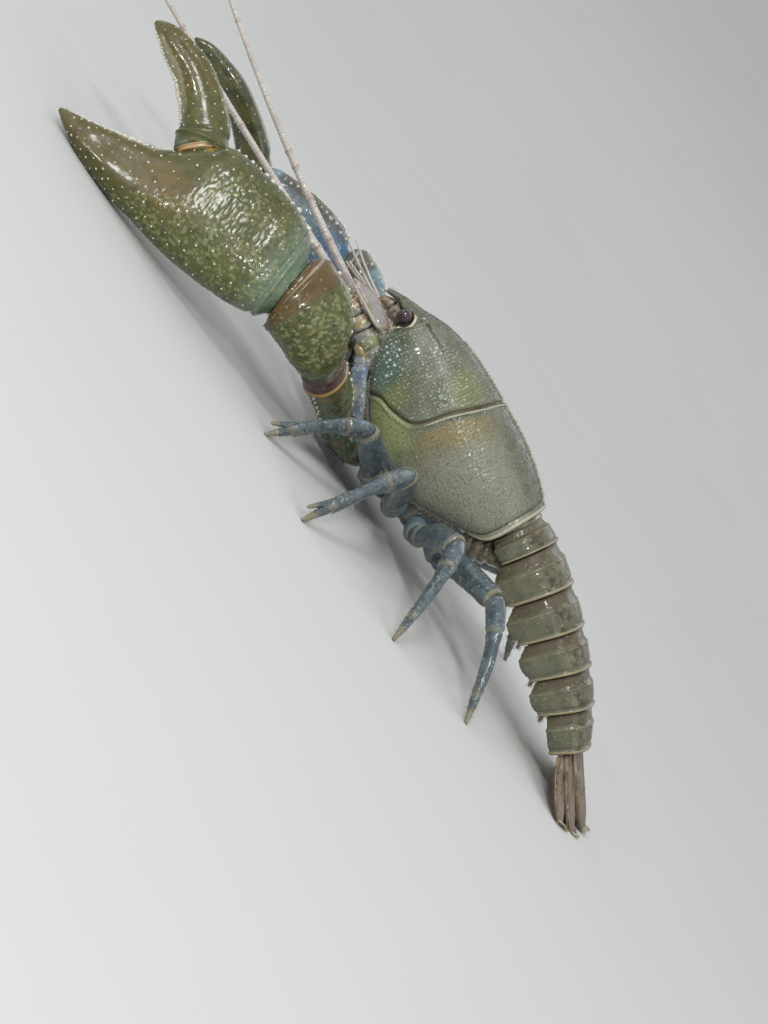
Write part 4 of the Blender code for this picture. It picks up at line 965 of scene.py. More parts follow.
# %% Claw finishes
NEAR_PALETTE = {
    "base": (76, 77, 34), "cloud": (93, 92, 43), "dark": (46, 45, 21), "rice": (126, 130, 79),
    "middle": (100, 78, 26), "finger": (80, 76, 32), "neck": (100, 130, 114), "inner": (66, 66, 34),
    "outer": (84, 90, 46), "tip": (98, 88, 50), "cut": (160, 154, 122), "hinge": (200, 176, 96),
}
FAR_PALETTE = {
    "base": (84, 112, 130), "cloud": (120, 146, 154), "dark": (54, 62, 60), "rice": (128, 148, 140),
    "middle": (94, 118, 112), "finger": (50, 78, 96), "neck": (80, 122, 176), "inner": (80, 68, 42),
    "outer": (74, 64, 42), "tip": (110, 106, 84), "cut": (140, 150, 142), "hinge": (160, 144, 96),
}


CLAW_LAYERS = (
    ("outer", 0.8, 1.8, 0.7, 0.42), ("middle", 0.7, 1.6, 0.85, 0.42), ("finger", 0.6, 2, 0.6, 0.42),
    ("dark",), ("neck", 0.9, 0.9, 0.6, 0.42), ("inner", 0.6, 0.8, 0.85, 0.42), ("rice",),
    ("cut", 0.6, 0.6, 0.6), ("hinge", 0.5, 0.6, 0.8), ("tip", 0.4, 0.7, 0.8),
)


def claw_finish(name, palette):
    made = Finish(name, palette["base"], Coat_Roughness=0.08)
    made.cloud(palette["cloud"], 3.2, 0.42, 0.68, 0.8)
    for mark, *how in CLAW_LAYERS:
        if mark == "dark":
            made.cloud(palette["dark"], 1.1, 0.52, 0.72, 0.6, 5)
        elif mark == "rice":
            made.tops("rice", palette["rice"], 0.3, 0.9, 0.66)
            made.tops("fine", palette["rice"], 0.7, 1, 0.3)
        else:
            made.layer(mark, palette[mark], *how)
    return made.done(rough=(0.26, 0.44), rough_size=0.5, coat=(0.2, 0.6), bump=0.1, bump_size=0.12)


near_shell = claw_finish("near_claw_shell", NEAR_PALETTE)
far_shell = claw_finish("far_claw_shell", FAR_PALETTE)
print("hands:", hand(near, near_shell, 360, 200), hand(far, far_shell, 200, 120))

# %% [markdown]
# The movable finger hinges on the slope of the hand's notch and stands open, on a bowed path. Both
# fingers are edged with small white teeth: pearls in a row, larger in the middle.

# %% The movable finger
def finger_path(claw, rows):
    """Middles, directions, half widths and half thicknesses along the movable finger."""
    ahead, aside = math.cos(FINGER_LEAN), math.sin(FINGER_LEAN)
    clear = GAP + claw.finger_clear
    start = (FINGER_ROOT[0] * claw.size + clear * ahead, FINGER_ROOT[1] * claw.narrow + clear * aside)
    place = np.interp(np.linspace(0, 1, rows), (0, 0.03, 0.93, 1), (0, 0.35, 19.4, 20.4))
    distance = place * claw.size * claw.finger_length
    bow, halves, thicks = curves(FINGER_OUTLINE, place)
    bow = bow * claw.size
    middles = claw.point(
        start[0] + distance * ahead + bow * aside, start[1] + distance * aside - bow * ahead, 0 * bow
    )
    ways = np.gradient(middles, axis=0)
    ways[0] = claw.axis * ahead + claw.wide * aside
    return middles, ways, halves * claw.narrow, thicks * claw.narrow, place


def finger(claw, finish, rows, columns):
    middles, ways, halves, thicks, place = finger_path(claw, rows)
    grid = tube(middles, halves, thicks, claw.face * claw.side, columns, 0.9, ways)
    place = np.broadcast_to(place[:, None], grid.shape[:2])
    outside = -((grid - grid.mean(axis=1, keepdims=True)) @ claw.wide)
    share = np.clip(outside / np.maximum(halves[:, None], 0.2), -1, 1)
    marks = {
        "rice": grains(grid, 0.8, 0.36, 51) * np.clip(share + 0.4, 0, 1) * ease(1, 3, place) * 0.7,
        "fine": grains(grid, 0.6, 0.42, 9) * 0.2,
        "tip": ease(17.5, 20, place),
        "finger": ease(6, 14, place),
        "neck": fade(0.6, 3.6, place) * ease(0, 0.7, -share),
        "cut": ease(0.35, 0.9, -share) * ease(1.5, 3, place),
        "outer": np.clip(share, 0, 1) * 0.6,
        "middle": ease(5, 12, place) * 0.7,
    }
    groove = hill(share, 0.25, 0.16) * within(2, 5, 14, 18, place)
    ends = within(0.1, 0.7, 18.8, 20.2, place)
    form = 0.06 * marks["rice"] + 0.04 * marks["fine"] - 0.12 * groove
    form += 0.15 * (clouds(grid, 4.5, 4, 1) - 0.5) + bands(place, (0.3, 0.8, 0.4), (-0.25, 1.7, 0.5))
    grid = raised(grid, form * ends * claw.narrow)
    skin(claw.name + "_dactyl_shell", grid, finish, marks, claw.slot, claw.name + "_dactyl")
    claw.finger = grid


finger(near, near_shell, 200, 110)
far_finger = Finish("far_claw_finger", (84, 82, 44), Coat_Roughness=0.06)
far_finger.cloud((46, 56, 40), 2, 0.4, 0.7, 0.9, 5)
far_finger.layer("neck", (86, 120, 140), 0.6, 0.8, 0.9)
far_finger.layer("cut", (150, 156, 140), 0.6, 0.5, 0.6)
far_finger.tops("rice", (150, 150, 96), 0.3, 0.9, 0.7)
finger(far, far_finger.done(rough=(0.2, 0.35), coat=(0.6, 1), bump=0.2), 140, 80)

# %% Teeth, knobs and pearls of the claws
tooth_white = (
    Finish("tooth_white", (206, 204, 186), Coat_Roughness=0.08)
    .cloud((176, 172, 140), 0.6, 0.4, 0.7)
    .done(rough=(0.2, 0.35), coat=(0.5, 0.9))
)
GOLDEN_SHARE = 0.618034


def spread(count, low, high, draw):
    """Shares along and round a grid, spaced evenly by the golden ratio, then loosened a little."""
    k = np.arange(count)
    rows = low + (high - low) * (k + 0.5) / count + draw.normal(0, 0.003, count)
    return rows, (k * GOLDEN_SHARE) % 1 + draw.normal(0, 0.006, count)


def stud_group(claw, group, grid, rows, columns, widths, tall, **look):
    """Studs on a claw's grid at shares along and round it, tall for their widths."""
    spots, ways, _ = pick(grid, rows, columns)
    studs(claw.name + group, spots, ways, widths, widths * tall, tooth_white, slot=claw.slot, **look)


def claw_studs(claw, count_scale):
    """Teeth on both cutting edges, knobs on the hand's inner edge and pearls over the rest."""
    draw = np.random.default_rng(4 if claw is near else 5)
    size = claw.narrow
    rows = np.linspace(0.615, 0.93, int(34 * count_scale))
    stud_group(claw, "_fixed_teeth", claw.hand, rows, 0.5 + 0.016 * np.sin(np.arange(len(rows)) * 2.4),
               (0.3 + 0.22 * hill(rows, 0.74, 0.06) + 0.06 * draw.random(len(rows))) * size, 1.1)
    rows = np.linspace(0.2, 0.93, int(30 * count_scale))
    stud_group(claw, "_free_teeth", claw.finger, rows, draw.normal(0, 0.008, len(rows)),
               (0.26 + 0.2 * hill(rows, 0.45, 0.1) + 0.06 * draw.random(len(rows))) * size, 1.1)
    rows = np.repeat(np.linspace(0.05, 0.43, 13), 2)
    columns = 0.5 + np.tile((-0.045, 0.045), 13) + draw.normal(0, 0.012, 26)
    stud_group(claw, "_palm_knobs", claw.hand, rows, columns,
               (0.52 - 0.6 * rows) * draw.uniform(0.6, 1.25, 26) * size, 0.95, sides=10)
    count = int(340 * count_scale)
    for group, grid, number, low, high, widths in (
        ("_palm_pearls", claw.hand, count, 0.06, 0.93, (0.11, 0.22)),
        ("_finger_pearls", claw.finger, count // 3, 0.08, 0.9, (0.1, 0.2)),
    ):
        rows, columns = spread(number, low, high, draw)
        stud_group(claw, group, grid, rows, columns, draw.uniform(*widths, number) * size, 0.7)


claw_studs(near, 1)
claw_studs(far, 0.8)
print("teeth on each finger:", 34, 30)

# %% [markdown]
# The wrist is a wedge, widest at the rim before the hand, on a path that bends smoothly from the
# arm's way into the hand's. The arm runs from the chest's side out, forward and up to the elbow. Both
# carry pearly knobs on their inner edge, and glossy bands at their ends.

# %% Arm and wrist
def wrist_path(claw, rows):
    start = claw.elbow + claw.elbow_way * GAP
    end = claw.wrist - claw.axis * GAP
    handle = np.linalg.norm(end - start) * WRIST_HANDLE
    t = np.interp(np.linspace(0, 1, rows), (0, 0.04, 0.94, 1), (0, 0.03, 0.97, 1))[:, None]
    s = 1 - t
    leave, arrive = start + claw.elbow_way * handle, end - claw.axis * handle
    return start * s**3 + leave * 3 * t * s**2 + arrive * 3 * t**2 * s + end * t**3, t[:, 0]


def limb(claw, joint, points, t, wides, thicks, power, form, finish, columns, band, line):
    """One joint of the claw limb, with its own carving and marks by the share along it."""
    grid = tube(points, wides, thicks, claw.face * claw.side, columns, power)
    t = np.broadcast_to(t[:, None], grid.shape[:2])
    angle = np.broadcast_to(2 * np.pi * np.arange(columns) / columns, t.shape)
    marks = {
        "rice": rice(claw, grid, 0.7, 0.5, 77) * within(0.1, 0.2, 0.7, 0.82, t),
        "fine": grains(grid, 0.6, 0.42, 13),
        "crest": hill(angle, np.pi, 0.5),
        "band": ease(band - 0.04, band + 0.04, t),
        "line": hill(t, band + line, 0.012),
        "root": fade(0.02, 0.14, t),
        "streak": hill(t, 0.3, 0.05) * hill(angle, 1.65, 0.16)
        + hill(t, 0.5, 0.05) * hill(angle, 2.15, 0.16),
    }
    grid = raised(grid, form(t, marks) * within(0, 0.03, 0.97, 1, t) * claw.narrow)
    name = claw.name + joint
    skin(name + "_shell", grid, finish, marks, claw.slot, name)
    return grid


def arm_form(t, marks):
    form = (0.1 * marks["rice"] + 0.05 * marks["fine"]) * (1 - marks["band"])
    form += 0.45 * (marks["crest"] - 0.3) * within(0.35, 0.6, 0.85, 0.95, t)
    form += bands(t, (0.22, 0.865, 0.02), (-0.3, 0.93, 0.03))
    return form + bands(t, (-0.45, 0.2, 0.02), (-0.45, 0.4, 0.02), (0.18, 0.37, 0.02))


def wrist_form(t, marks):
    form = 0.12 * marks["rice"] + 0.04 * marks["fine"]
    form += 0.4 * (marks["crest"] - 0.3) * ease(0.2, 0.4, t) - 0.3 * marks["streak"]
    return form + bands(t, (0.16, 0.91, 0.03), (-0.12, 0.84, 0.03), (-0.16, 0.965, 0.02), (0.2, 0.06, 0.03))


def arm_points(claw):
    """The places of the arm's path, from its seat on the chest to the elbow."""
    hip_back, hip_up = ARM_HIP
    hip = body(hip_back, claw.side * ARM_ROOT_OUT, hip_up)
    second = hip + np.array((claw.side * 4.6, -2.2, -0.1))
    third = hip + np.array((claw.side * 7.4, -5.8, 0.9))
    before = third + (claw.elbow - third) * 0.45 + UP * 0.4
    way = claw.elbow - before
    return np.array([
        hip, hip + (second - hip) * 0.6, second, second + (third - second) * 0.55, third,
        third + (before - third) * 0.5, before, before + way * 0.55, before + way * 0.88, claw.elbow,
    ])


def arm_and_wrist(claw, arm_finish, wrist_finish, rows, columns):
    points = arm_points(claw)
    claw.elbow_way = unit(points[-1] - points[-2])
    length = np.concatenate([[0], np.cumsum(np.linalg.norm(np.diff(points, axis=0), axis=1))])
    t = np.linspace(0, 1, rows)
    path = flow(length / length[-1], points, t)
    wides, thicks = flow(length / length[-1], ARM_SHAPE, t).T * claw.size
    claw.arm = limb(claw, "_arm", path, t, wides, thicks, 0.95, arm_form, arm_finish, columns, 0.88, 0)
    path, t = wrist_path(claw, rows)
    scale = claw.size + (claw.narrow - claw.size) * ease(0, 0.1, t)
    wides, thicks = curves(WRIST_SHAPE, t) * scale
    claw.wrist_shell = limb(
        claw, "_wrist", path, t, wides, thicks, 0.9, wrist_form, wrist_finish, columns, 0.78, 0.17
    )


ARM_PALETTES = {
    "near_arm": (
        (82, 82, 44), (112, 104, 68), (54, 48, 30), (74, 118, 104),
        (72, 46, 50), (176, 136, 70), (132, 156, 168), (184, 160, 150)),
    "near_wrist": (
        (76, 78, 34), (92, 94, 44), (44, 46, 22), (122, 128, 77),
        (92, 66, 24), (158, 148, 120), (84, 108, 84), (112, 112, 72)),
    "far_arm": (
        (58, 84, 152), (92, 120, 180), (40, 52, 96), (116, 142, 180),
        (66, 62, 66), (150, 136, 100), (96, 124, 170), (90, 120, 190)),
    "far_wrist": (
        (62, 104, 122), (96, 138, 152), (42, 60, 68), (120, 146, 146),
        (84, 72, 48), (160, 156, 138), (84, 112, 128), (140, 146, 124)),
}


def joint_finish(name):
    base, cloud, dark, crest, band, line, root, streak = ARM_PALETTES[name]
    made = Finish(name + "_shell", base, Coat_Roughness=0.07)
    made.cloud(cloud, 2.4, 0.4, 0.68, 0.85)
    made.cloud(dark, 0.9, 0.5, 0.72, 0.8, 5)
    made.layer("crest", crest, 0.6, 0.8, 0.7)
    made.layer("root", root, 0.6, 0.8, 0.8)
    made.layer("streak", streak, 0.7, 1, 0.8)
    made.tops("rice", crest, 0.3, 0.85, 0.8)
    soft = 0.5 if "wrist" in name else 0.2
    made.layer("band", band, 2.6 * soft, 1.6, 0.85, soft)
    made.paint(line, made.ramp(made.mark("fine"), 0.75, 1, 0, 0.5) * made.mark("band"))
    made.layer("line", line, 0.3, 0.5, 0.8)
    return made.done(rough=(0.24, 0.42), rough_size=0.5, coat=(0.25, 0.65), bump=0.12, bump_size=0.12)


arm_and_wrist(near, joint_finish("near_arm"), joint_finish("near_wrist"), 190, 130)
arm_and_wrist(far, joint_finish("far_arm"), joint_finish("far_wrist"), 130, 96)


def crest_studs(claw, grid, name, rows, widths, shape, column=0.5):
    """A row of knobs or thorns on a joint's inner edge, in two staggered lines."""
    draw = np.random.default_rng(len(name))
    count = len(rows)
    columns = column + np.where(np.arange(count) % 2, 0.03, -0.03) + draw.normal(0, 0.008, count)
    widths = widths * (0.8 + 0.4 * draw.random(count)) * claw.size
    stud_group(claw, name, grid, rows, columns, widths, 1.6 if shape is THORN else 0.9, shape=shape, sides=10)


for claw, shape in ((near, DOME), (far, THORN)):
    crest_studs(claw, claw.arm, "_arm_crest", np.linspace(0.46, 0.85, 17), 0.3, shape)
    crest_studs(claw, claw.wrist_shell, "_wrist_crest", np.linspace(0.22, 0.86, 12), 0.36, shape)
    crest_studs(claw, claw.arm, "_arm_under", np.linspace(0.46, 0.84, 14), 0.26, THORN, 0)
print("arm and wrist of each claw: knobs and bands")

# %% [markdown]
# Where two joints meet, soft skin closes the gap. It is paler than the shell, smooth and a little
# sunken, so each is a short ring round the joint, ribbed by its folds.

# %% Joint skin of the claws
def membrane_finish(name, colour, second):
    made = Finish(name, colour, Coat_Roughness=0.1, glow=(0.15, 0.8, 0.4, 0.3))
    made.cloud(second, 0.9, 0.4, 0.65, 0.8)
    return made.done(rough=(0.25, 0.4), coat=(0.6, 1), bump=0.2, bump_size=0.15)


teal_membrane = membrane_finish("teal_joint_skin", (104, 124, 104), (58, 74, 60))
peach_membrane = membrane_finish("peach_joint_skin", (206, 150, 96), (150, 168, 132))


def joint_skin(name, middle, way, wide, thick, face, before, after, finish, slot):
    """A short ribbed ring round a joint."""
    t = np.linspace(-before, after, 24)
    points = middle + unit(way) * t[:, None]
    swell = 1 - 0.12 * np.abs(np.sin(t * 5)) - 0.25 * ease(0.6, 1, np.abs(t) / max(before, after))
    grid = tube(points, wide * swell, thick * swell, face, 72, 0.9, np.broadcast_to(way, points.shape))
    skin(name, grid, finish, {}, slot)


for claw in (near, far):
    face, size = claw.face * claw.side, claw.narrow
    joint_skin(claw.name + "_wrist_skin", claw.wrist, claw.axis, 5.35 * size, 3.75 * size, face, 1.2, 1.1,
               teal_membrane, claw.slot)
    joint_skin(claw.name + "_elbow_skin", claw.elbow, claw.elbow_way, 3 * claw.size, 2.6 * claw.size, face,
               1, 1.1, teal_membrane, claw.slot)
    middles, ways, *_ = finger_path(claw, 40)
    joint_skin(claw.name + "_finger_skin", middles[0], ways[0], 4.05 * size, 2.8 * size, face, 0.9, 0.8,
               peach_membrane, claw.slot)
print("joint skins: 6")


# %% [markdown]
# ## Eyes
#
# A crayfish eye is a dark ball on a short stalk, tiled with thousands of tiny lenses. Ball and stalk
# are one grid round their own axis, with the lenses as a fine dimpling. The glossy darkness comes from
# a nearly black purple under a clear coat.

# %% Eyes on their stalks
EYE_BACK, EYE_UP, EYE_OUT, EYE_RADIUS = 5.3, 0.95, 3.75, 1.25
STALK_RADIUS, BROW_OUT = 0.75, 0.8

eye_dark = (
    Finish("eye_dark", (46, 28, 36), Coat_Roughness=0.02)
    .cloud((84, 56, 66), 0.9, 0.45, 0.7, 0.6)
    .layer("stalk", (168, 152, 128), 0.3, 0.4, 0.95)
    .done(rough=(0.1, 0.2), coat=(0.9, 1))
)


def eye(side, word):
    inner = body(EYE_BACK + 0.5, side * (BROW_OUT + 0.1), EYE_UP - 0.1)
    centre = body(EYE_BACK, side * EYE_OUT, EYE_UP)
    way = centre - inner
    reach = float(np.linalg.norm(way))
    stalk_end = reach - EYE_RADIUS * 0.86
    ball = np.arccos(np.clip(np.linspace(0.86, -0.995, 44), -1, 1))
    stalk_t = np.linspace(0, stalk_end, 20, endpoint=False)
    along = np.concatenate([stalk_t, reach - EYE_RADIUS * np.cos(ball)])
    width = np.concatenate([
        STALK_RADIUS * (1 - 0.1 * np.sin(np.linspace(0, np.pi, 20))), EYE_RADIUS * np.sin(ball)
    ])
    points = inner + unit(way) * along[:, None]
    grid = tube(points, width, width, UP, 64, ways=np.broadcast_to(way, points.shape))
    lens = ease(stalk_end + 0.1, stalk_end + 0.5, along)[:, None] * np.ones(64)
    grid = raised(grid, 0.018 * grains(grid - centre, 0.16, 0.6, 3) * lens)
    skin(word + "_eye_ball", grid, eye_dark, {"stalk": 1 - lens}, "eyes", word + "_eye")


for eye_side, word in SIDES:
    eye(eye_side, word)
print("eyes:", EYE_RADIUS * 2, "mm across")

# %% [markdown]
# The eye sits in a shallow socket that closes the bay between the beak's edge and the shell's rim. It
# is drawn as a funnel: from each point of that rim a line runs in towards the eye's stalk, bulging
# outwards. Round the eye it swells into a bead, which is cream behind and below the eye. Inside the
# bead, in the gap round the eye, the socket is painted near-black: painted shade.

# %% Sockets and their pale crescents
BAY_SHARES, BAY_ROWS, BAY_COLUMNS = (0.105, 0.5), 110, 44
CRESCENT_RADIUS, CRESCENT_WIDTH = 1.78, 0.24
STALK_OUT, BAY_THICK = 2.7, 0.35

socket_skin = (
    Finish("socket_skin", (92, 96, 76), Coat_Roughness=0.1)
    .cloud((62, 60, 44), 0.9, 0.45, 0.7, 0.8, 5)
    .tops("grain", (160, 164, 148), 0.4, 0.9, 0.7)
    # Near-black painted shade in the socket's gap round the eye.
    .layer("deep", (34, 26, 22), 0.2, 0.5, 0.95)
    .layer("cream", (208, 196, 160), 0.3, 0.5, 0.95)
    .done(rough=(0.25, 0.4), coat=(0.3, 0.7), bump=0.2)
)


def eye_bay(side, word):
    column = np.interp(np.linspace(*BAY_SHARES, BAY_ROWS), side_share, np.arange(len(side_share)))
    column = column if side == LEFT else SHELL_COLUMNS - column
    rim = flow(np.arange(SHELL_COLUMNS), sheet[2], np.clip(column, 0, SHELL_COLUMNS - 1))
    stalk = body(EYE_BACK + 0.2, side * STALK_OUT, EYE_UP)
    t = np.linspace(0, 0.9, BAY_COLUMNS // 2)[None, :, None]
    outer = rim[:, None] + (stalk - rim[:, None]) * t + np.array((side * 0.5, 0, 0)) * np.sin(np.pi * t)
    inner = outer - np.array((side * BAY_THICK, 0, 0)) + (stalk - outer) * 0.04
    grid = np.concatenate([outer, inner[:, ::-1]], 1)
    from_eye = grid - body(EYE_BACK + 0.1, 0, EYE_UP - 0.05)
    behind_eye, above_eye = from_eye[..., 1], from_eye[..., 2]
    away, angle = np.hypot(behind_eye, above_eye), np.arctan2(-above_eye, behind_eye)
    face = np.arange(BAY_COLUMNS)[None, :] < BAY_COLUMNS // 2
    bead = hill(away, CRESCENT_RADIUS, CRESCENT_WIDTH) * face
    behind = within(-1.6, -0.9, 1.5, 2.1, angle)
    grain = grains(grid, 0.6, 0.36, 17) * ease(1.9, 2.3, away) * face
    grid = grid + np.array((side, 0, 0)) * (0.3 * bead * behind + 0.07 * grain)[..., None]
    # Painted shade: near-black wherever the socket lies within about 1.5 mm of the eye's middle.
    marks = {"cream": bead * behind, "deep": fade(1.35, 1.65, away), "grain": grain}
    skin(word + "_eye_socket", grid, socket_skin, marks, "carapace")


for eye_side, word in SIDES:
    eye_bay(eye_side, word)
print("crescents:", CRESCENT_RADIUS * 2, "mm across")

# %% [markdown]
# ## Feelers
#
# Each long feeler is a whip of hundreds of rings on a stalk of thick joints, with a leaf, the antennal
# scale, over its root. Each short feeler has three joints and two fine whips. A whip is a tube along a
# path that turns evenly. Its rings are a saw-tooth of the radius, and a few are a little swollen.

# %% Whips
ANTENNA_BASE_START, ANTENNA_BASE_END = (7.4, 3.4, -5.9), (-1.6, 3.9, -5.6)
ANTENNA_LENGTH, ANTENNA_RADIUS, ANTENNA_TIP = 88, 0.8, 0.26
ANTENNA_RISE = {LEFT: (1, 8), RIGHT: (7, 18)}
ANTENNA_SPREAD = {LEFT: (1, 12), RIGHT: (2, 14)}

feeler_pale = (
    Finish("feeler_pale", (190, 182, 174), Coat_Roughness=0.15, glow=(0.2, 0.6, 0.4, 0.35))
    .tops("ring", (140, 122, 114), 0.3, 0.9, 0.75)
    .cloud((160, 144, 134), 3, 0.45, 0.7, 0.6)
    .layer("knot", (158, 136, 122), 0.3, 0.4, 0.7)
    .done(rough=(0.3, 0.45), coat=(0.3, 0.8))
)


def whip_path(start, length, rise, spread, side, steps):
    t = (np.arange(steps) + 0.5) / steps
    up = np.radians(rise[0] + (rise[1] - rise[0]) * t)
    aside = np.radians(spread[0] + (spread[1] - spread[0]) * t)
    ways = np.stack([side * np.sin(aside) * np.cos(up), -np.cos(aside) * np.cos(up), np.sin(up)], -1)
    return np.concatenate([[start], start + np.cumsum(ways * length / steps, axis=0)])


def whip(name, path, first, last, power, ring_length, columns, slot, nodes=(), seed=0):
    t = np.linspace(0, 1, len(path))
    length = np.linalg.norm(np.diff(path, axis=0), axis=1).sum()
    saw = (t * length / ring_length) % 1
    draw = np.random.default_rng(seed)
    knots = sum(hill(t, place, 0.004) for place in draw.uniform(0.03, 0.9, 7))
    width = (first + (last - first) * t**power) * (1 - 0.1 * (1 - saw) + 0.22 * knots)
    grid = tube(path, width, width, UP, columns)
    marks = {"ring": (1 - saw)[:, None] ** 3, "knot": knots[:, None]}
    skin(name, grid, feeler_pale, marks, slot, *nodes)
    return grid


for feeler_side, word in SIDES:
    tip_back, tip_out, tip_up = ANTENNA_BASE_END
    start = body(tip_back - GAP, tip_out * feeler_side, tip_up)
    rise, spread_out = ANTENNA_RISE[feeler_side], ANTENNA_SPREAD[feeler_side]
    path = whip_path(start, ANTENNA_LENGTH, rise, spread_out, feeler_side, 760)
    whip(word + "_antenna_whip", path, ANTENNA_RADIUS, ANTENNA_TIP, 0.7, 0.55, 16, "feelers",
         (word + "_antenna",), 3 + feeler_side)
print("antennae:", ANTENNA_LENGTH, "mm long")

# %% The stalk of the long feeler
STALK_SHAPE = (
    (0, 1.5), (0.1, 1.9), (0.27, 2), (0.34, 1.6), (0.4, 1.7), (0.56, 1.65), (0.62, 1.3), (0.68, 1.4),
    (0.88, 1.3), (1, 0.95),
)
STALK_JOINTS = (0.345, 0.625, 0.94)

stalk_pearl = (
    Finish("stalk_pearl", (160, 156, 144), Coat_Roughness=0.08, glow=(0.1, 0.6, 0.4, 0.3))
    .cloud((108, 112, 100), 1, 0.45, 0.65, 0.85, 5)
    .layer("front", (184, 134, 88), 0.8, 0.8, 0.7)
    .layer("middle", (182, 160, 96), 0.8, 0.8, 0.6)
    .layer("root", (136, 148, 92), 0.8, 0.8, 0.7)
    .layer("joint", (84, 66, 50), 0.2, 0.4, 0.85)
    .tops("grain", (224, 220, 206), 0.5, 0.95, 0.8)
    .done(rough=(0.2, 0.4), coat=(0.5, 1), bump=0.2)
)


def jointed_stalk(name, start, end, shape, joints, columns, finish, node, slot="feelers", groove=0.22):
    t = np.linspace(0, 1, 120)
    points = start + (end - start) * t[:, None]
    width = curve(shape, t)
    grid = tube(points, width, width, UP, columns)
    cuts, lips = hills(t, joints, 0.012), hills(t + 0.035, joints, 0.02)
    ends = within(0, 0.03, 0.97, 1, t)[:, None]
    grid, bumps = carved(grid, cuts, lips, (groove, 0.14, 0.08), (0.55, 0.42, 61), (0.25, 1.6, 3), ends)
    marks = {
        "joint": cuts, "grain": bumps, "root": fade(0.1, 0.3, t)[:, None],
        "middle": hill(t, 0.5, 0.1)[:, None], "front": ease(0.66, 0.8, t)[:, None],
    }
    skin(name, grid, finish, marks, slot, node)
    return grid


def at_side(place, side):
    return body(place[0], place[1] * side, place[2])


for feeler_side, word in SIDES:
    jointed_stalk(word + "_antenna_stalk", at_side(ANTENNA_BASE_START, feeler_side),
                  at_side(ANTENNA_BASE_END, feeler_side), STALK_SHAPE, STALK_JOINTS, 60, stalk_pearl,
                  word + "_antenna_base")
print("stalk joints:", len(STALK_JOINTS) + 1)

# %% [markdown]
# The antennal scale is a leaf: a stiff outer edge that ends in a point, a soft blade, and a fringe of
# hairs. It is a very flat tube, and the fine streaks along it are ridges across its width.

# %% The leaf over the feeler's root
SCALE_ROOT, SCALE_LENGTH, SCALE_HALF, SCALE_THICK = (5.8, 4.8, -2.5), 9.4, 1.7, 0.7
SCALE_SHAPE = ((0, 0.7), (0.15, 0.95), (0.35, 1), (0.55, 0.95), (0.75, 0.78), (0.9, 0.48), (1, 0.18))

leaf_lilac = (
    Finish("leaf_lilac", (156, 148, 146), Coat_Roughness=0.08, glow=(0.25, 0.8, 0.6, 0.6))
    .tops("streak", (96, 90, 86), 0.4, 0.8, 0.75)
    .cloud((124, 108, 84), 2.2, 0.45, 0.65, 0.8)
    .layer("edge", (206, 196, 178), 0.4, 0.6, 0.8)
    .layer("root", (140, 112, 84), 0.6, 0.7, 0.8)
    .cloud((200, 198, 200), 1.1, 0.54, 0.72, 0.6)
    .done(rough=(0.22, 0.4), coat=(0.6, 1), bump=0.25)
)


def scale_leaf(side, word):
    root_back, root_out, root_up = SCALE_ROOT
    t = np.linspace(0, 1, 100)
    points = body(root_back - SCALE_LENGTH * t, side * (root_out - t**2), root_up - 0.2 * t - t**3)
    wides, thicks = curve(SCALE_SHAPE, t) * SCALE_HALF, SCALE_THICK * (0.6 - 0.3 * t)
    facing = np.array((side * 0.55, 0, 0.83))
    columns = 80
    grid = tube(points, wides, thicks, facing * side, columns, 0.8)
    angle = 2 * np.pi * np.arange(columns) / columns
    across = np.broadcast_to(np.cos(angle), grid.shape[:2])
    streak = 0.5 + 0.5 * np.sin(across * 34 + 3 * clouds(grid, 2, 9))
    t_all = np.broadcast_to(t[:, None], grid.shape[:2])
    stiff = hill(across, 0.93, 0.1)
    ends = within(0, 0.05, 0.95, 1, t_all)
    form = 0.05 * (streak - 0.5) + 0.12 * stiff + 0.1 * (clouds(grid, 2.4, 2) - 0.5)
    grid = raised(grid, (form + 0.16 * hill(across, 0.45, 0.12)) * ends)
    marks = {"streak": streak, "edge": np.clip(stiff, 0, 1), "root": fade(0, 0.14, t_all)}
    skin(word + "_antenna_leaf", grid, leaf_lilac, marks, "feelers", word + "_antenna_scale")
    return grid


leaves = {word: scale_leaf(feeler_side, word) for feeler_side, word in SIDES}
print("leaves:", SCALE_LENGTH, "mm long")

# %% The short feelers
ANTENNULE_START, ANTENNULE_END = (6.7, 1.6, -1.7), (0.6, 1.6, -2.2)
ANTENNULE_SHAPE = ((0, 0.95), (0.3, 1), (0.42, 0.75), (0.55, 0.8), (0.7, 0.62), (0.78, 0.66), (1, 0.55))
WHIPS = ((12, (6, 14), (8, 18)), (9, (-6, 0), (-2, 4)))

for feeler_side, word in SIDES:
    start, end = at_side(ANTENNULE_START, feeler_side), at_side(ANTENNULE_END, feeler_side)
    jointed_stalk(word + "_antennule_stalk", start, end, ANTENNULE_SHAPE, (0.4, 0.71), 48, stalk_pearl,
                  word + "_antennule", groove=0.12)
    root = end + unit(start - end) * 1.4
    for number, (length, rise, spread) in enumerate(WHIPS):
        path = whip_path(root, length, rise, spread, feeler_side, 160)
        whip(f"{word}_antennule_whip_{number + 1}", path, 0.34, 0.16, 1, 0.32, 12, "feelers", (), number)
print("short feelers: 4 whips")

# %% [markdown]
# Under the beak the short feelers' first joints swell up beside each other and fill the space between
# the eyes. They are brown like the beak, with stiff hairs on top.

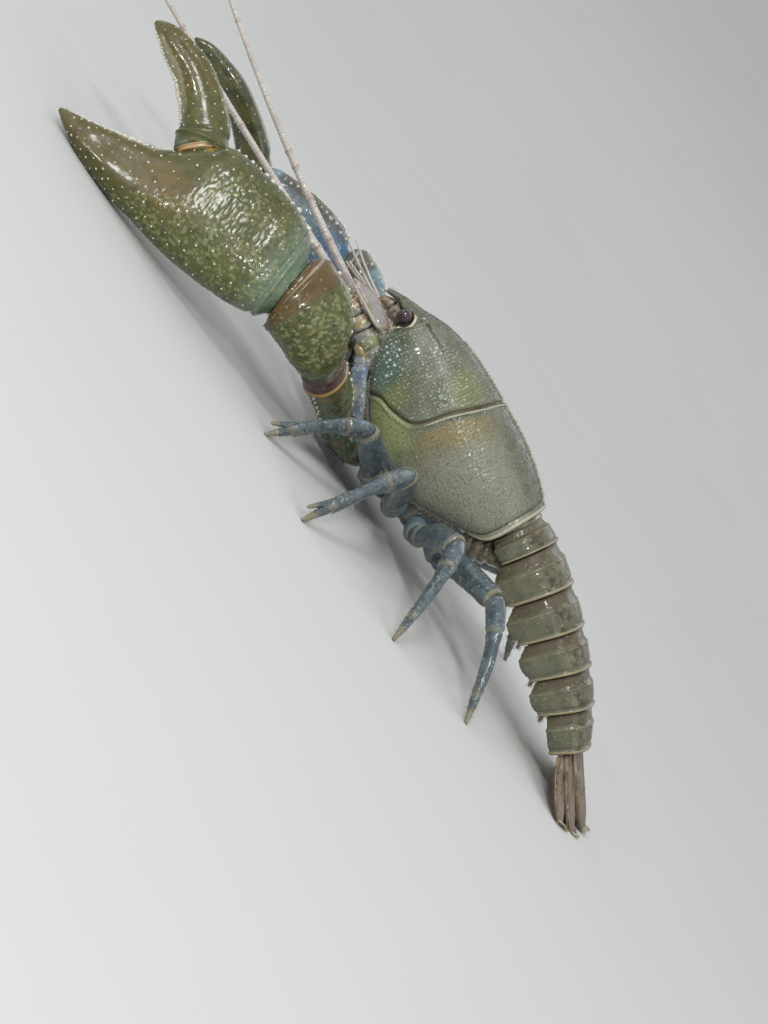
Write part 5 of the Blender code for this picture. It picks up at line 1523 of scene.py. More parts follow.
# %% The swollen first joints under the beak
FIRST_JOINT_SHAPE = (
    (7.6, 1.5, 0, 0.8, 0.9), (5.6, 1.65, -0.3, 1.25, 1.15), (3.8, 1.65, -0.5, 1.25, 1.15),
    (2.2, 1.6, -0.8, 0.95, 0.95), (1.1, 1.5, -1.2, 0.55, 0.6), (0.6, 1.5, -1.4, 0.25, 0.3),
)
joint_ochre = (
    Finish("first_joint_ochre", (112, 98, 74), Coat_Roughness=0.1)
    .cloud((164, 152, 134), 1, 0.45, 0.7, 0.8)
    .cloud((66, 56, 44), 0.6, 0.52, 0.7, 0.8, 5)
    .layer("joint", (72, 60, 46), 0.5, 0.5, 0.8)
    .done(rough=(0.25, 0.4), coat=(0.4, 0.9), bump=0.2)
)

# %% [markdown]
# ## The mouth limbs
#
# The outermost mouth limb folds forward under the head like a bearded flap. It is led by places along
# its middle, each with a half width and thickness. A slim outer branch lies beside it, and a round
# amber knob sits under the feeler's stalk.

# %% Mouth limbs, outer branches and amber knobs
MAXILLIPED_SHAPE = (
    (19.2, 2.9, -18.2, 1.2, 1.3), (17, 3, -17.7, 2, 1.7), (13, 3.2, -15.3, 2.5, 1.9),
    (9, 3.3, -13.2, 2.3, 1.8), (7.2, 3.3, -12.2, 1.7, 1.5), (5.8, 3.2, -11.5, 1.9, 1.5),
    (3.6, 3.1, -10.6, 1.7, 1.3), (1.8, 3, -9.9, 1.15, 1), (0, 2.9, -9.2, 1.1, 0.9),
    (-1.6, 2.8, -8.6, 0.75, 0.6), (-2.8, 2.7, -8.2, 0.35, 0.3),
)
EXOPOD_SHAPE = (
    (18.5, 4.6, -13.9, 0.6, 0.4), (16, 5.2, -12.7, 1.25, 0.5), (13, 5.4, -11.1, 1.5, 0.5),
    (10, 5.1, -9.2, 1.3, 0.5), (7.6, 4.6, -7.9, 0.8, 0.4), (6.2, 4.3, -7.2, 0.3, 0.25),
)

mouth_blue = (
    Finish("mouth_blue", (104, 116, 130), Coat_Roughness=0.1)
    .cloud((70, 78, 84), 1.3, 0.45, 0.7, 0.85, 5)
    .cloud((186, 120, 66), 2.6, 0.58, 0.7, 0.8)
    .cloud((92, 124, 168), 1.9, 0.62, 0.74, 0.8)
    .layer("joint", (176, 160, 110), 0.4, 0.6, 0.85)
    .tops("grain", (170, 178, 180), 0.5, 1, 0.6)
    .done(rough=(0.25, 0.45), coat=(0.4, 0.9), bump=0.3, bump_size=0.12)
)
strip_lilac = (
    Finish("strip_lilac", (134, 140, 144), Coat_Roughness=0.1, Subsurface_Weight=0.1)
    .cloud((92, 116, 150), 2.2, 0.5, 0.66, 0.8)
    .cloud((170, 148, 104), 1.7, 0.56, 0.7, 0.8)
    .cloud((84, 86, 80), 0.8, 0.5, 0.7, 0.8, 5)
    .tops("grain", (190, 192, 184), 0.5, 1, 0.6)
    .done(rough=(0.25, 0.4), coat=(0.5, 0.9), bump=0.2)
)
amber = (
    Finish("amber_knob", (150, 128, 70), Coat_Roughness=0.06, glow=(0.2, 0.7, 0.4, 0.2))
    .cloud((120, 120, 92), 0.9, 0.45, 0.65)
    .done(rough=(0.15, 0.3), coat=(0.7, 1))
)


def led_tube(name, shape, side, joints, columns, rows, finish, slot, nodes=(), grain=0.06):
    """A limb led by (back, out, up, half width, half thickness), grooved at the given places."""
    places = np.array([at_side(place[:3], side) for place in shape])
    run = np.concatenate([[0], np.cumsum(np.linalg.norm(np.diff(places, axis=0), axis=1))])
    t = np.linspace(0, run[-1], rows)
    path = flow(run, places, t)
    wides, thicks = flow(run, [place[3:] for place in shape], t).T
    grid = tube(path, wides, thicks, (1, 0, 0), columns, 0.95)
    back_here = np.interp(t, run, [place[0] for place in shape])
    cuts, lips = hills(back_here, joints, 0.22), hills(back_here - 0.7, joints, 0.35)
    ends = within(0, 0.4, run[-1] - 0.4, run[-1], t)[:, None]
    grid, bumps = carved(grid, cuts, lips, (0.28, 0.16, grain), (0.6, 0.42, 71), (0.35, 2.2, 8), ends)
    skin(name, grid, finish, {"joint": cuts, "grain": bumps}, slot, *nodes)
    return grid


CHEEK_SKIN_SHAPE = (
    (5.5, 3.5, -1.4, 0.4, 0.4), (6.3, 3.4, -3.3, 1.1, 0.9), (7.5, 3.3, -5.6, 1.5, 1.1),
    (8.9, 3, -7.5, 1.5, 1.1), (10.4, 2.8, -9.2, 1, 0.8), (11, 2.7, -9.8, 0.4, 0.3),
)
KNOB_SHAPE = (
    (9, 4.2, -8, 0.4, 0.4), (8, 4.5, -7.9, 0.8, 0.6), (6.8, 4.5, -7.8, 0.8, 0.6),
    (5.9, 4.3, -7.7, 0.3, 0.3),
)
MOUTH_JOINTS = (17.6, 7, 2, -1)

mouth_limbs, first_joints = {}, {}
for mouth_side, word in SIDES:
    led_tube(word + "_cheek_skin", CHEEK_SKIN_SHAPE, mouth_side, (6.9,), 48, 80, stalk_pearl, "feelers")
    first_joints[word] = led_tube(word + "_first_joint", FIRST_JOINT_SHAPE, mouth_side, (2.9,), 48, 80,
                                  joint_ochre, "feelers", (), 0.03)
    mouth_limbs[word] = led_tube(word + "_mouth_limb", MAXILLIPED_SHAPE, mouth_side, MOUTH_JOINTS, 80, 180,
                                 mouth_blue, "legs", (word + "_maxilliped",), 0.08)
    led_tube(word + "_mouth_branch", EXOPOD_SHAPE, mouth_side, (9,), 40, 90, strip_lilac, "legs")
    led_tube(word + "_amber_knob", KNOB_SHAPE, mouth_side, (), 40, 40, amber, "feelers", (), 0.03)
print("mouth limbs:", len(mouth_limbs))


# %% [markdown]
# ## Walking legs
#
# Each leg is two nodes: the short joints and the long thigh, and the shin with the foot. The first two
# of these pairs end in small pincers. A joint is a narrow cut with a swollen lip before it, where the
# slate blue gives way to ochre skin. One function makes them all from a row of sizes for each pair.

# %% Sizes of the legs
LEG_BACK, LEG_UP = (27.6, 31.7, 35.7, 39.2), (-14.2, -13.2, -12, -10.6)
LEG_FORWARD = (28, 8, -18, -44)
UPPER_LENGTH, LOWER_LENGTH = (17.5, 22, 20, 18.5), (19.5, 25, 22.5, 21.5)
KNEE_HEIGHT, THIGH_RADIUS = (10.5, 12.5, 12.5, 12), (2.1, 2.3, 2.15, 2)
LEG_ROOT_OUT, LEG_FLATNESS, UPPER_SAG, LOWER_BOW = 4.9, 0.79, 1.3, 2.2
UPPER_SHAPE = (
    (0, 0.86), (0.12, 0.95), (0.2, 0.8), (0.3, 0.92), (0.36, 0.86), (0.55, 1.06), (0.8, 0.98),
    (0.93, 1), (1, 0.8),
)
LOWER_SHAPE = (
    (0, 0.72), (0.1, 0.82), (0.27, 0.74), (0.36, 0.66), (0.42, 0.56), (0.6, 0.56), (0.74, 0.44),
    (0.82, 0.42), (0.92, 0.28), (1, 0.16),
)
PINCER_SHAPE = tuple((t, max(w, 0.56) if t < 0.78 else w) for t, w in LOWER_SHAPE)
PINCER_FINGER = ((0.7, 0.5), (0.78, 0.55), (0.88, 0.42), (0.97, 0.25))
PINCER_GAPE = 5
UPPER_JOINTS, LOWER_JOINTS = (0.2, 0.345), (0.31, 0.8)
LEG_ROWS, LEG_COLUMNS = 130, 48

leg_slate = (
    Finish("leg_slate", (68, 80, 84), Coat_Roughness=0.1)
    .cloud((86, 104, 114), 2.6, 0.42, 0.68, 0.8)
    .cloud((46, 50, 46), 1, 0.5, 0.72, 0.8, 5)
    .speckle((150, 160, 152), 0.5, 0.12, 0.28, 0.5)
    .layer("root", (116, 138, 152), 0.8, 1, 0.7)
    .layer("foot", (132, 124, 92), 0.8, 0.8, 0.8)
    .layer("joint", (132, 126, 98), 1.2, 0.6, 0.6, 0.45)
    .tops("grain", (150, 162, 160), 0.5, 1, 0.45)
    .done(rough=(0.25, 0.45), coat=(0.3, 0.7), bump=0.25, bump_size=0.12)
)


def leg_part(name, path, t, widths, radius, normal, joints, finish, node, last_way=None, feet=False):
    ways = np.gradient(path, axis=0)
    if last_way is not None:
        ways[0] = last_way
    grid = tube(path, widths * radius, widths * radius * LEG_FLATNESS, normal, LEG_COLUMNS, 1, ways)
    cuts, lips = hills(t, joints, 0.012), hills(t + 0.035, joints, 0.018)
    ends = within(0, 0.02, 0.97, 1, t)[:, None] * widths[:, None]
    grid, bumps = carved(grid, cuts, lips, (0.26, 0.14, 0.05), (0.62, 0.42, 83), (0.3, 2.6, 6), ends)
    if feet:
        grid[..., 2] = np.maximum(grid[..., 2], 0)
    marks = {
        "joint": np.clip(0.6 * cuts + 0.7 * hills(t, joints, 0.03), 0, 1),
        "grain": bumps,
        "root": 0 if feet else fade(0.1, 0.3, t)[:, None],
        "foot": ease(0.84, 0.97, t)[:, None] if feet else ease(0.95, 0.99, t)[:, None],
    }
    skin(name, grid, finish, marks, "legs", node)
    return grid


def leg(pair, side, word):
    k = pair - 2
    name = f"{word}_leg_{pair}"
    hip = body(LEG_BACK[k], side * LEG_ROOT_OUT, LEG_UP[k])
    turn = math.radians(LEG_FORWARD[k])
    outer = np.array((side * math.cos(turn), -math.sin(turn), 0))
    rise, drop = KNEE_HEIGHT[k] - hip[2], KNEE_HEIGHT[k]
    knee = hip + outer * math.sqrt(UPPER_LENGTH[k] ** 2 - rise**2) + UP * rise
    foot = knee + outer * math.sqrt(LOWER_LENGTH[k] ** 2 - drop**2) - UP * drop
    normal = unit(np.cross(outer, UP))
    t = np.linspace(0, 1, LEG_ROWS)
    sag = UPPER_SAG * np.sin(np.pi * np.minimum(2 * t, 1))
    path = hip + (knee - hip) * t[:, None] - UP * sag[:, None]
    radius = THIGH_RADIUS[k]
    leg_part(name + "_thigh", path, t, curve(UPPER_SHAPE, t), radius, normal, UPPER_JOINTS, leg_slate,
             name + "_upper", np.array((side, 0, 0)))
    way = unit(path[-1] - path[-2])
    start = knee + way * GAP

    def lower(share, lift=0):
        bow = LOWER_BOW * np.sin(np.pi * share) * (1 - 0.4 * share) + lift
        return start + (foot - start) * share[:, None] + UP * bow[:, None]

    shape = PINCER_SHAPE if pair <= 3 else LOWER_SHAPE
    shin = leg_part(name + "_shin", lower(t), t, curve(shape, t), radius, normal, LOWER_JOINTS, leg_slate,
                    name + "_lower", way, True)
    if pair <= 3:
        u = np.linspace(PINCER_FINGER[0][0], PINCER_FINGER[-1][0], 60)
        beyond = u - u[0]
        path = lower(u, 0.5 + 2 * beyond) + normal * (beyond * PINCER_GAPE * side)[:, None]
        blunt = fade(0.94, 1, beyond / beyond[-1])
        width = curve(PINCER_FINGER, u) * np.sqrt(np.clip(blunt, 0.05, 1))
        grid = tube(path, width, width, normal, 36)
        cut, toe = hill(u, 0.755, 0.01)[:, None], ease(0.86, 0.95, u)[:, None]
        marks = {"joint": cut, "grain": 0, "root": 0, "foot": toe}
        skin(name + "_finger", grid, leg_slate, marks, "legs")
    return shin


shins = {(pair, word): leg(pair, leg_side, word) for pair in (2, 3, 4, 5) for leg_side, word in SIDES}
print("legs:", len(shins))

# %% [markdown]
# ## The floor of the chest
#
# Between the legs the chest is closed by a narrow floor of plates, one for each pair of legs. It is a
# grid of its own, with a cut at each plate's end and a keel in the middle.

# %% The chest's floor
UNDERBODY_START, UNDERBODY_END = 9.3, 40.8
UNDERBODY_LOW = ((9, -11), (14, -13.6), (19, -16.2), (27, -16.4), (33, -15), (41, -12))


def chest_floor():
    rows, columns = 80, 72
    back = np.linspace(UNDERBODY_START, UNDERBODY_END, rows)
    half = np.minimum(4.6, 2.6 + 0.28 * (back - UNDERBODY_START))
    edge, low = curve(LOWER_EDGE, back), curve(UNDERBODY_LOW, back)
    zero = np.zeros(rows)
    outline = np.stack([
        np.stack([zero, edge + 1.05], -1), np.stack([half * 0.8, edge + 0.3], -1),
        np.stack([half, edge - 0.5], -1), np.stack([half, low + 1.6], -1),
        np.stack([half * 0.6, low + 0.3], -1), np.stack([zero, low], -1),
    ])
    mirrored = outline[-2:0:-1] * (-1, 1)
    ring = np.concatenate([outline, mirrored, outline[:1]])
    places = flow(np.arange(len(ring)), ring, np.linspace(0, len(ring) - 1, columns + 1)[:-1])
    grid = body(back[:, None], places[..., 0].T, places[..., 1].T)
    around = np.arange(columns)[None, :] / columns
    plates = hills(back, (23.4, 29.7, 33.7, 37.5), 0.5)
    keel = hill(around, 0.5, 0.03)
    form = 0.3 * keel - 0.35 * plates * hill(around, 0.5, 0.2) + 0.3 * (clouds(grid, 2, 4) - 0.5)
    grid = raised(grid, form)
    # With root at 0 the floor keeps the legs' plain dark slate, without their pale blue roots: painted shade
    # under the chest.
    marks = {"joint": plates * 0.8, "grain": grains(grid, 0.7, 0.4, 5), "root": 0, "foot": 0}
    skin("chest_floor", grid, leg_slate, marks, "legs", "underbody")


chest_floor()
print("chest floor from", UNDERBODY_START, "to", UNDERBODY_END, "mm back")


# %% [markdown]
# ## The tail
#
# Six rings follow the shell, each an arched plate with a rounded lobe hanging at each side and a soft
# floor between them. Each is a grid across an outline of arch, lobe and floor. The plate's front third
# is smooth and sunken, because it slides under the ring before it, and its rear rim is a pale bead.

# %% Rings of the tail
ABDOMEN_HALF = (6.9, 7.5, 7.5, 7.2, 6.8, 6.2)
ABDOMEN_OVER = (5, 5.6, 5.5, 5.2, 4.8, 4.2)
ABDOMEN_LENGTH = (4.4, 7, 6.6, 6.3, 6, 6.6)
LOBE_DROP = (3.6, 5.9, 6, 5.7, 5.2, 3.4)
FLOOR_DROP = 3
ABDOMEN_START = (43.4, 1.4)
PITCH_STEP = math.radians(3.7)
ARCH_POINTS = 7


def ring_outline(half, over, lobe):
    """The (out, up) of a ring's left half from the top to the middle of its floor."""
    angle = np.pi / 2 * (1 - np.arange(ARCH_POINTS + 1) / ARCH_POINTS)
    arch = np.stack([half * np.cos(angle) ** 0.85, over * np.sin(angle)], -1)
    rest = np.array((
        (half, -lobe * 0.45), (half * 0.97, -lobe * 0.8), (half * 0.9, -lobe), (half * 0.8, -lobe * 0.85),
        (half * 0.7, -FLOOR_DROP * 0.95), (half * 0.35, -FLOOR_DROP), (0, -FLOOR_DROP),
    ))
    return np.concatenate([arch, rest])


def tail_finish(name, base, cloud, dark, rim):
    made = Finish(name, base, Coat_Roughness=0.09)
    made.cloud(cloud, 3.2, 0.42, 0.68, 0.85)
    made.cloud(dark, 1.2, 0.46, 0.68, 0.85, 5)
    made.layer("side", (98, 100, 78), 0.8, 1.4, 0.6)
    made.layer("front", (84, 70, 48), 0.4, 1, 0.7)
    made.layer("belly", (176, 168, 146), 0.2, 1, 0.9)
    made.tops("grain", (150, 148, 120), 0.5, 1, 0.45)
    made.layer("rim", rim, 0.4, 0.8, 0.85)
    return made.done(rough=(0.28, 0.48), rough_size=0.5, coat=(0.2, 0.65), bump=0.3, bump_size=0.12)


tail_olive = tail_finish("tail_olive_shell", (92, 88, 64), (116, 108, 80), (54, 46, 32), (158, 142, 106))
tail_places = []


def tail_ring(number, middle, pitch):
    """One ring, and where and how steeply the next one starts."""
    rows, columns = 54, 220
    length = ABDOMEN_LENGTH[number] - GAP
    t = np.linspace(0, 1, rows)
    turn = pitch + PITCH_STEP * t
    step = length / (rows - 1)
    ways = np.stack([0 * t, np.cos(turn), -np.sin(turn)], -1)
    middles = middle + np.concatenate([np.zeros((1, 3)), np.cumsum(ways[1:] * step, axis=0)])
    upward = np.stack([0 * t, np.sin(turn), np.cos(turn)], -1)
    if number < 5:
        half = ABDOMEN_HALF[number] + (ABDOMEN_HALF[number + 1] - ABDOMEN_HALF[number]) * t
        over = ABDOMEN_OVER[number] + (ABDOMEN_OVER[number + 1] - ABDOMEN_OVER[number]) * t
    else:
        half, over = ABDOMEN_HALF[number] * (1 - 0.12 * t), ABDOMEN_OVER[number] * (1 - 0.3 * t)
    flare = 0.94 + 0.07 * np.minimum(1, 2.2 * t)
    bulge = np.sin(np.pi * (0.08 + 0.84 * t)) ** 0.6
    lobe = FLOOR_DROP + (LOBE_DROP[number] - FLOOR_DROP) * bulge
    grid = np.zeros((rows, columns, 3))
    shares = np.linspace(0, 2 * (ARCH_POINTS + 7), columns + 1)[:-1]
    for k in range(rows):
        left = ring_outline(half[k] * flare[k], over[k] * flare[k], lobe[k])
        ring = np.concatenate([left, left[-2::-1] * (-1, 1)])
        spots = flow(np.arange(len(ring)), ring, shares)
        grid[k] = middles[k] + spots[:, :1] * (1, 0, 0) + spots[:, 1:] * upward[k]
    around = np.broadcast_to(shares / shares.max(), (rows, columns))
    t = np.broadcast_to(t[:, None], (rows, columns))
    under = hill(around, 0.5, 0.13) ** 0.5 * within(0.34, 0.4, 0.6, 0.66, around)
    back_plate = 1 - under
    bumps = grains(grid, 0.6, 0.34, 91 + number) * back_plate
    rims = bands(t, (0.14, 0.95, 0.04), (-0.14, 0.87, 0.04), (0.12, 0.36, 0.03))
    form = back_plate * (rims - 0.22 * fade(0.22, 0.34, t) + 0.03 * bumps * ease(0.3, 0.4, t))
    form += 0.22 * (clouds(grid, 3, 14) - 0.5) * back_plate + 0.15 * under * np.sin(t * 40)
    ends = within(0, 0.04, 0.97, 1, t)
    grid = raised(grid, form * ends)
    marks = {
        "rim": np.clip(hill(t, 0.955, 0.035) + 0.5 * hill(t, 0.36, 0.03), 0, 1) * back_plate,
        "front": fade(0.2, 0.34, t) * back_plate, "belly": under, "grain": bumps,
        "side": ease(0.16, 0.24, np.minimum(around, 1 - around)) * back_plate,
    }
    skin(f"tail_ring_{number + 1}", grid, tail_olive, marks, "abdomen", f"abdomen_{number + 1}")
    tail_places.append((grid, middles[rows // 2], upward[rows // 2]))
    end = middle + np.sum(ways[1:] * step, axis=0)
    return end + ways[-1] * GAP, pitch + PITCH_STEP


tail_middle, tail_pitch = body(ABDOMEN_START[0], 0, ABDOMEN_START[1]), BODY_PITCH
for number in range(6):
    tail_middle, tail_pitch = tail_ring(number, tail_middle, tail_pitch)
print("the tail fan starts at", [round(float(v), 1) for v in tail_middle], "pitched",
      round(math.degrees(tail_pitch)))

# %% [markdown]
# Soft skin joins the chest to the tail. A ring of it shows behind the shell's rear rim, and a wedge
# closes the belly behind the last legs, so that no daylight falls between them. Both are led tubes.

# %% Soft skin at the waist
WAIST_SHAPE = (
    (41.2, 0, 2, 3.9, 6), (42.4, 0, 2, 4.1, 6.3), (43.6, 0, 1.9, 3.9, 6.2), (44.8, 0, 1.8, 3.5, 5.8),
)
BELLY_SHAPE = (
    (38, 0, -7.6, 3.4, 3.9), (40.5, 0, -6.6, 3.6, 4.6), (43, 0, -4.8, 3, 5),
    (45.5, 0, -3.2, 2, 4.9), (48, 0, -2.4, 1, 4.2),
)
waist_membrane = membrane_finish("waist_membrane", (122, 112, 88), (86, 76, 58))
for name, shape in (("waist_skin", WAIST_SHAPE), ("belly_skin", BELLY_SHAPE)):
    led_tube(name, shape, LEFT, (42.2, 43.7, 45.2), 72, 60, waist_membrane, "abdomen", (), 0.03)
print("waist skin: a ring and a wedge")

# %% [markdown]
# The fan is five plates: the middle one over an inner and an outer pair, layered like shingles. Each
# plate has a raised midrib, fine ribs that fan out to the rear, and a soft rear third; on the outer
# pair a seam runs before it.

# %% The tail fan
TELSON_SHAPE = (
    (0, 0.82, 1.2), (0.2, 0.95, 1.1), (0.45, 1, 1), (0.7, 0.95, 0.9), (0.88, 0.78, 0.8), (1, 0.42, 0.7),
)
UROPOD_SHAPE = (
    (0, 0.36, 1), (0.15, 0.5, 1), (0.35, 0.85, 0.95), (0.6, 1, 0.9), (0.82, 0.92, 0.8), (1, 0.5, 0.7),
)
FAN_CAMBER, FAN_DROOP, FAN_LAYER, FAN_TOP = 0.45, 0.33, 1.25, 0.9
FAN_PLATES = (
    ("telson", "telson_plate", 0, 12.6, 4.3, 0, 0, TELSON_SHAPE, (LEFT,)),
    ("inner_uropod", "inner_plate", 1, 12.8, 3.3, 3.3, 20, UROPOD_SHAPE, (LEFT, RIGHT)),
    ("outer_uropod", "outer_plate", 2, 12.6, 3.7, 4.7, 42, UROPOD_SHAPE, (LEFT, RIGHT)),
)

fan_brown = (
    Finish("fan_brown", (112, 86, 66), Coat_Roughness=0.1, Subsurface_Weight=0.08)
    .cloud((118, 112, 86), 2.6, 0.42, 0.68, 0.85)
    .cloud((64, 46, 36), 1, 0.5, 0.74, 0.8, 5)
    .tops("rib", (96, 62, 44), 0.5, 0.9, 0.6)
    .layer("soft", (128, 106, 86), 0.5, 1, 0.6)
    .layer("rim", (150, 132, 100), 0.6, 0.6, 0.8)
    .done(rough=(0.28, 0.46), rough_size=0.5, coat=(0.2, 0.65), bump=0.3, bump_size=0.12)
)


def both(mark):
    """A mark of a plate's upper face, carried on over its lower face."""
    return np.concatenate([mark, mark[:, ::-1]], 1)


def fan_plate(name, node, layer, length, half_width, root_out, heading, shape, side):
    rows, half_columns = 90, 44
    aft = np.array((0, math.cos(tail_pitch), -math.sin(tail_pitch)))
    upward = np.array((0, math.sin(tail_pitch), math.cos(tail_pitch)))
    aside = np.array((side, 0, 0))
    root = tail_middle + aside * root_out + upward * (FAN_TOP - layer * FAN_LAYER)
    turn = math.radians(heading)
    along = aside * math.sin(turn) + aft * math.cos(turn)
    t = np.interp(np.linspace(0, 1, rows), (0, 0.8, 1), (0, 0.86, 1))
    bend = turn * np.minimum(1, t / 0.3)
    across = aside * np.cos(bend)[:, None] - aft * np.sin(bend)[:, None]
    width, thick = curves(shape, t)
    width = width * half_width
    u = np.linspace(-1, 1, half_columns)
    swell = 1 - u * u
    edge = (root + along * length * t[:, None])[:, None] + across[:, None] * (width[:, None] * u)[..., None]
    edge = edge + upward * (FAN_CAMBER * swell - FAN_DROOP)[None, :, None]
    half = thick[:, None] * (0.12 + 0.34 * swell**0.6)
    seam = hill(t, 0.64, 0.012)[:, None] * (layer == 2)
    rib = 0.5 + 0.5 * np.cos(u * 26)[None, :] * np.ones((rows, 1))
    soft = ease(0.55, 0.7, t)[:, None] * np.ones(half_columns)
    midrib = hill(u, -0.12 * side * (layer > 0), 0.1)[None, :] * fade(0.8, 0.95, t)[:, None]
    bumps = grains(edge, 0.7, 0.4, 17)
    plate_rim = hill(np.abs(u), 0.93, 0.05)[None, :] * ease(0.1, 0.3, t)[:, None]
    top = 0.1 * (rib - 0.5) * soft + 0.26 * midrib - 0.22 * seam + 0.05 * bumps * (1 - soft)
    top = top + 0.16 * hill(t, 0.61, 0.02)[:, None] * (layer == 2) + 0.14 * plate_rim
    top = top * (ease(0, 0.05, t) * (1 - 0.6 * ease(0.95, 1, t)))[:, None] * 0.8
    over, under = edge + upward * (half + top)[..., None], edge - upward * half[..., None]
    grid = np.concatenate([over, under[:, ::-1]], 1)
    grid[..., 2] = np.maximum(grid[..., 2], 0)
    marks = {
        "rib": both(rib * soft), "soft": both(soft),
        "rim": both(np.clip(hill(np.abs(u), 1, 0.07)[None, :] + ease(0.95, 1, t)[:, None], 0, 1)),
    }
    skin(name, grid, fan_brown, marks, "tail_fan", node)
    return grid


fan = {}
for node, name, layer, *form, sides in FAN_PLATES:
    for fan_side in sides:
        word = "" if len(sides) == 1 else ("left_" if fan_side == LEFT else "right_")
        fan[word + name] = fan_plate(word + name, word + node, layer, *form, fan_side)
print("fan plates:", len(fan))

# %% [markdown]
# Under the second to the fifth ring hangs a pair of small paddles, each on a stalk and fringed with
# hairs. They are flat tubes, hung from the floor of their ring.

# %% Paddles under the tail
PADDLE_SHAPE = ((0, 0.6, 0.4), (0.3, 0.85, 0.45), (0.6, 1.05, 0.4), (0.85, 0.8, 0.35), (1, 0.3, 0.2))
paddle_pink = (
    Finish("paddle_pink", (176, 150, 130), Coat_Roughness=0.12, Subsurface_Weight=0.15)
    .cloud((130, 96, 80), 1, 0.45, 0.7, 0.8)
    .done(rough=(0.3, 0.45), coat=(0.4, 0.8), bump=0.2)
)
paddles = {}
for number, (ring, middle, upward) in enumerate(tail_places[1:5]):
    low = float(ring[..., 2].min())
    centre = ring.reshape(-1, 3).mean(axis=0)
    for paddle_side, word in SIDES:
        root = np.array((paddle_side * 3, centre[1] - 0.6, centre[2] - 1.6))
        tip = np.array((paddle_side * 2.6, centre[1] + 1.7, max(low - 0.9, 1)))
        t = np.linspace(0, 1, 50)
        points = root + (tip - root) * t[:, None]
        grid = tube(points, *curves(PADDLE_SHAPE, t), (0, 1, 0.4), 32)
        grid = raised(grid, 0.1 * (clouds(grid, 1, 5) - 0.5))
        paddles[f"{word}_paddle_{number + 2}"] = grid
        skin(f"{word}_paddle_{number + 2}", grid, paddle_pink, {}, "tail_fan")
print("paddles:", len(paddles))


# %% [markdown]
# ## Bristles
#
# Fine hairs feel the water for a crayfish, so they stand wherever it meets the world: along the
# shell's back and lower edge, on the beak, in beards on the mouth limbs, round the tail fan, at the
# feet and in a dark pocket by the claw's root. Each is a thin bent spike of solid mesh, rooted in the
# skin and leaning the way that the water runs.

# %% Hair colours and one function for every row of hairs
def hair_finish(name, root, tip):
    made = Finish(name, root)
    made.cloud(tip, 1.5, 0.4, 0.65, 0.8)
    return made.done(rough=(0.4, 0.55), coat=(0.1, 0.4))


pale_hair = hair_finish("pale_hair", (190, 182, 156), (150, 132, 96))
green_hair = hair_finish("yellow_green_hair", (172, 174, 110), (196, 186, 132))
brown_hair = hair_finish("brown_hair", (120, 96, 72), (96, 74, 56))
black_hair = hair_finish("black_hair", (38, 34, 32), (70, 66, 60))
hair_draw = np.random.default_rng(21)


def fringe(name, grid, count, along, around, length, lean, finish, slot, width=0.045, loose=0.3, droop=0.1):
    """Hairs in a band along a grid, bunched round a middle (a share, its spread) or spread over a range."""
    rows = along[0] + (along[1] - along[0]) * hair_draw.random(count)
    spread_out = len(around) == 3
    columns = hair_draw.uniform(*around[:2], count) if spread_out else hair_draw.normal(*around, count)
    spots, ways, roots = pick(grid, rows, columns)
    ways = unit(ways + np.asarray(lean, float) + hair_draw.normal(0, loose, (count, 3)))
    lengths = length * hair_draw.uniform(0.55, 1.15, count)
    hairs(name, spots, ways, lengths, width, finish, roots, droop, slot=slot)


AHEAD, AFT = np.array((0, -1, 0)), np.array((0, 1, 0))
ALL_ROUND = (0, 1, "range")
fringe("back_bristles", sheet, 900, (0.3, 0.98), (0, 0.014), 0.55, AFT * 0.5, pale_hair, "carapace", 0.035)
edge_share = 0.5 * np.interp(0.8, (0, 0.2, 0.84, 1), (0, 0.25, 0.85, 1))
for hair_side, word in SIDES:
    column = edge_share if hair_side == LEFT else 1 - edge_share
    fringe(word + "_edge_bristles", sheet, 520, (0.04, 0.97), (column, 0.003), 0.75, -UP * 0.8, pale_hair,
           "carapace", 0.035)
for word, joint in first_joints.items():
    fringe(word + "_joint_bristles", joint, 90, (0.3, 0.95), (0, 0.08), 0.9, AHEAD + UP * 0.3, pale_hair,
           "feelers", 0.035)
fringe("beak_bristles", sheet, 26, (0, 0.03), (-0.02, 0.02, "range"), 1.1, AHEAD + UP, pale_hair,
       "carapace", 0.04)
print("shell bristles:", 900 + 2 * 520)

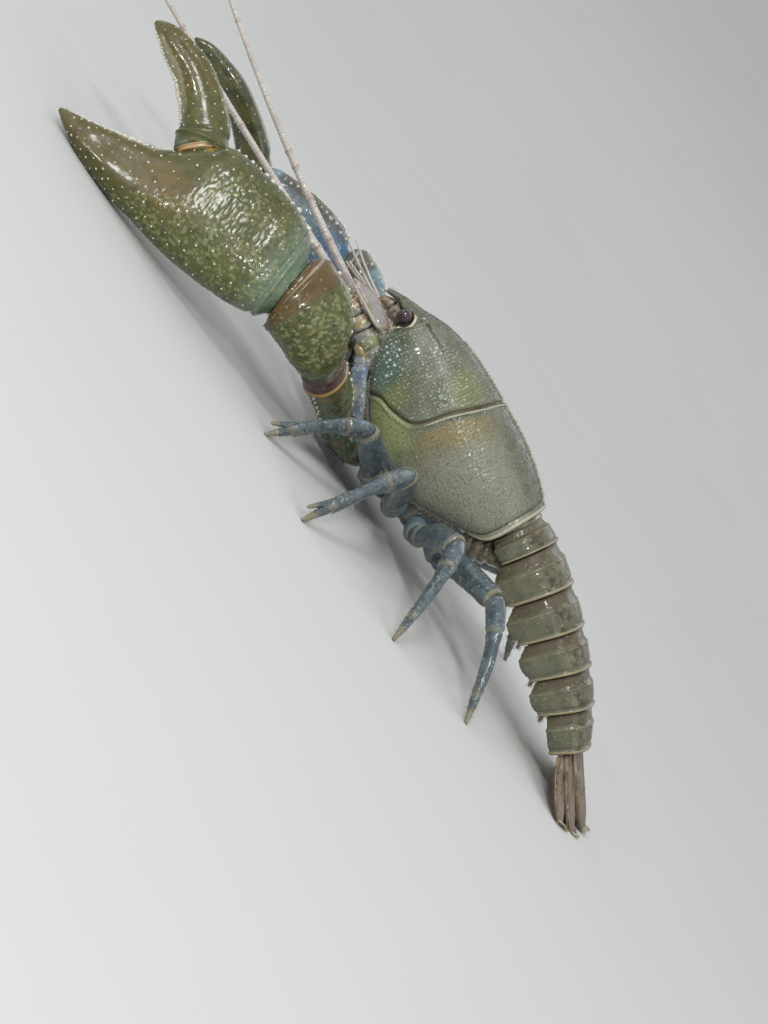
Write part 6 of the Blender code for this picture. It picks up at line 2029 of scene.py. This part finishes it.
# %% Beards of the mouth limbs, the leaves, and the tufts of the feelers
MOUTH_HAIR = (
    ("_mouth_beard", 620, (0.05, 0.97), (0.5, 0.1), 1.5, AHEAD * 0.8 - UP * 0.6, pale_hair, 0.05),
    ("_mouth_inner_beard", 380, (0.05, 0.97), (0, 0.1), 1.1, AHEAD, pale_hair, 0.045),
    ("_mouth_tuft", 240, (0.8, 0.99), ALL_ROUND, 1.6, AHEAD * 1.2, green_hair, 0.05),
)
for hair_side, word in SIDES:
    for group, count, along, around, length, lean, finish, width in MOUTH_HAIR:
        fringe(word + group, mouth_limbs[word], count, along, around, length, lean, finish, "legs", width)
    fringe(word + "_leaf_fringe", leaves[word], 260, (0.15, 0.98), (0.5, 0.01), 1, AHEAD * 1.4, pale_hair,
           "feelers", 0.035)
print("beards and fringes: 8")

# %% Feet, tail fan, paddles and the dark pocket at the claw's root
FAN_HAIR = (
    ("_fringe", 320, (1, 0.98), (0, 0.5, "range"), 1, AFT * 2, pale_hair, 0.04, 0.15),
    ("_side_fringe", 420, (0.2, 1), (0.5, 0.01), 0.85, AFT * 1.2 - UP * 0.4, brown_hair, 0.035, 0.2),
    ("_other_side_fringe", 420, (0.2, 1), (0, 0.01), 0.85, AFT * 1.2 - UP * 0.4, brown_hair, 0.035, 0.2),
)
for (pair, word), shin in shins.items():
    fringe(f"{word}_foot_bristles_{pair}", shin, 130, (0.62, 0.97), ALL_ROUND, 0.7, -UP * 0.2, pale_hair,
           "legs", 0.032)
for name, plate in fan.items():
    for group, count, along, around, length, lean, finish, width, loose in FAN_HAIR:
        fringe(name + group, plate, count, along, around, length, lean, finish, "tail_fan", width, loose)
for name, paddle in paddles.items():
    fringe(name + "_fringe", paddle, 110, (0.35, 1), ALL_ROUND, 0.8, AFT - UP * 0.3, pale_hair,
           "tail_fan", 0.03)
for claw in (near, far):
    fringe(claw.name + "_root_hair", claw.arm, 900, (0.06, 0.44), (0.62, 0.13), 1.3, AFT * 0.7 - UP * 0.3,
           black_hair, claw.slot, 0.045, 0.35)
    fringe(claw.name + "_tip_hair", claw.hand, 60, (0.93, 0.985), ALL_ROUND, 0.5, AHEAD, pale_hair,
           claw.slot, 0.03)
print("bristles on feet, fan, paddles and claw roots")


# %% [markdown]
# ## Measuring what was made
#
# The dressed animal has to stay as large as its solids. Both boxes are printed.

# %% The two boxes
new_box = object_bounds()
for name, low, high in (("solids", *cad_box), ("dressed", *new_box)):
    print(name, [round(v / MM, 1) for v in low], [round(v / MM, 1) for v in high])
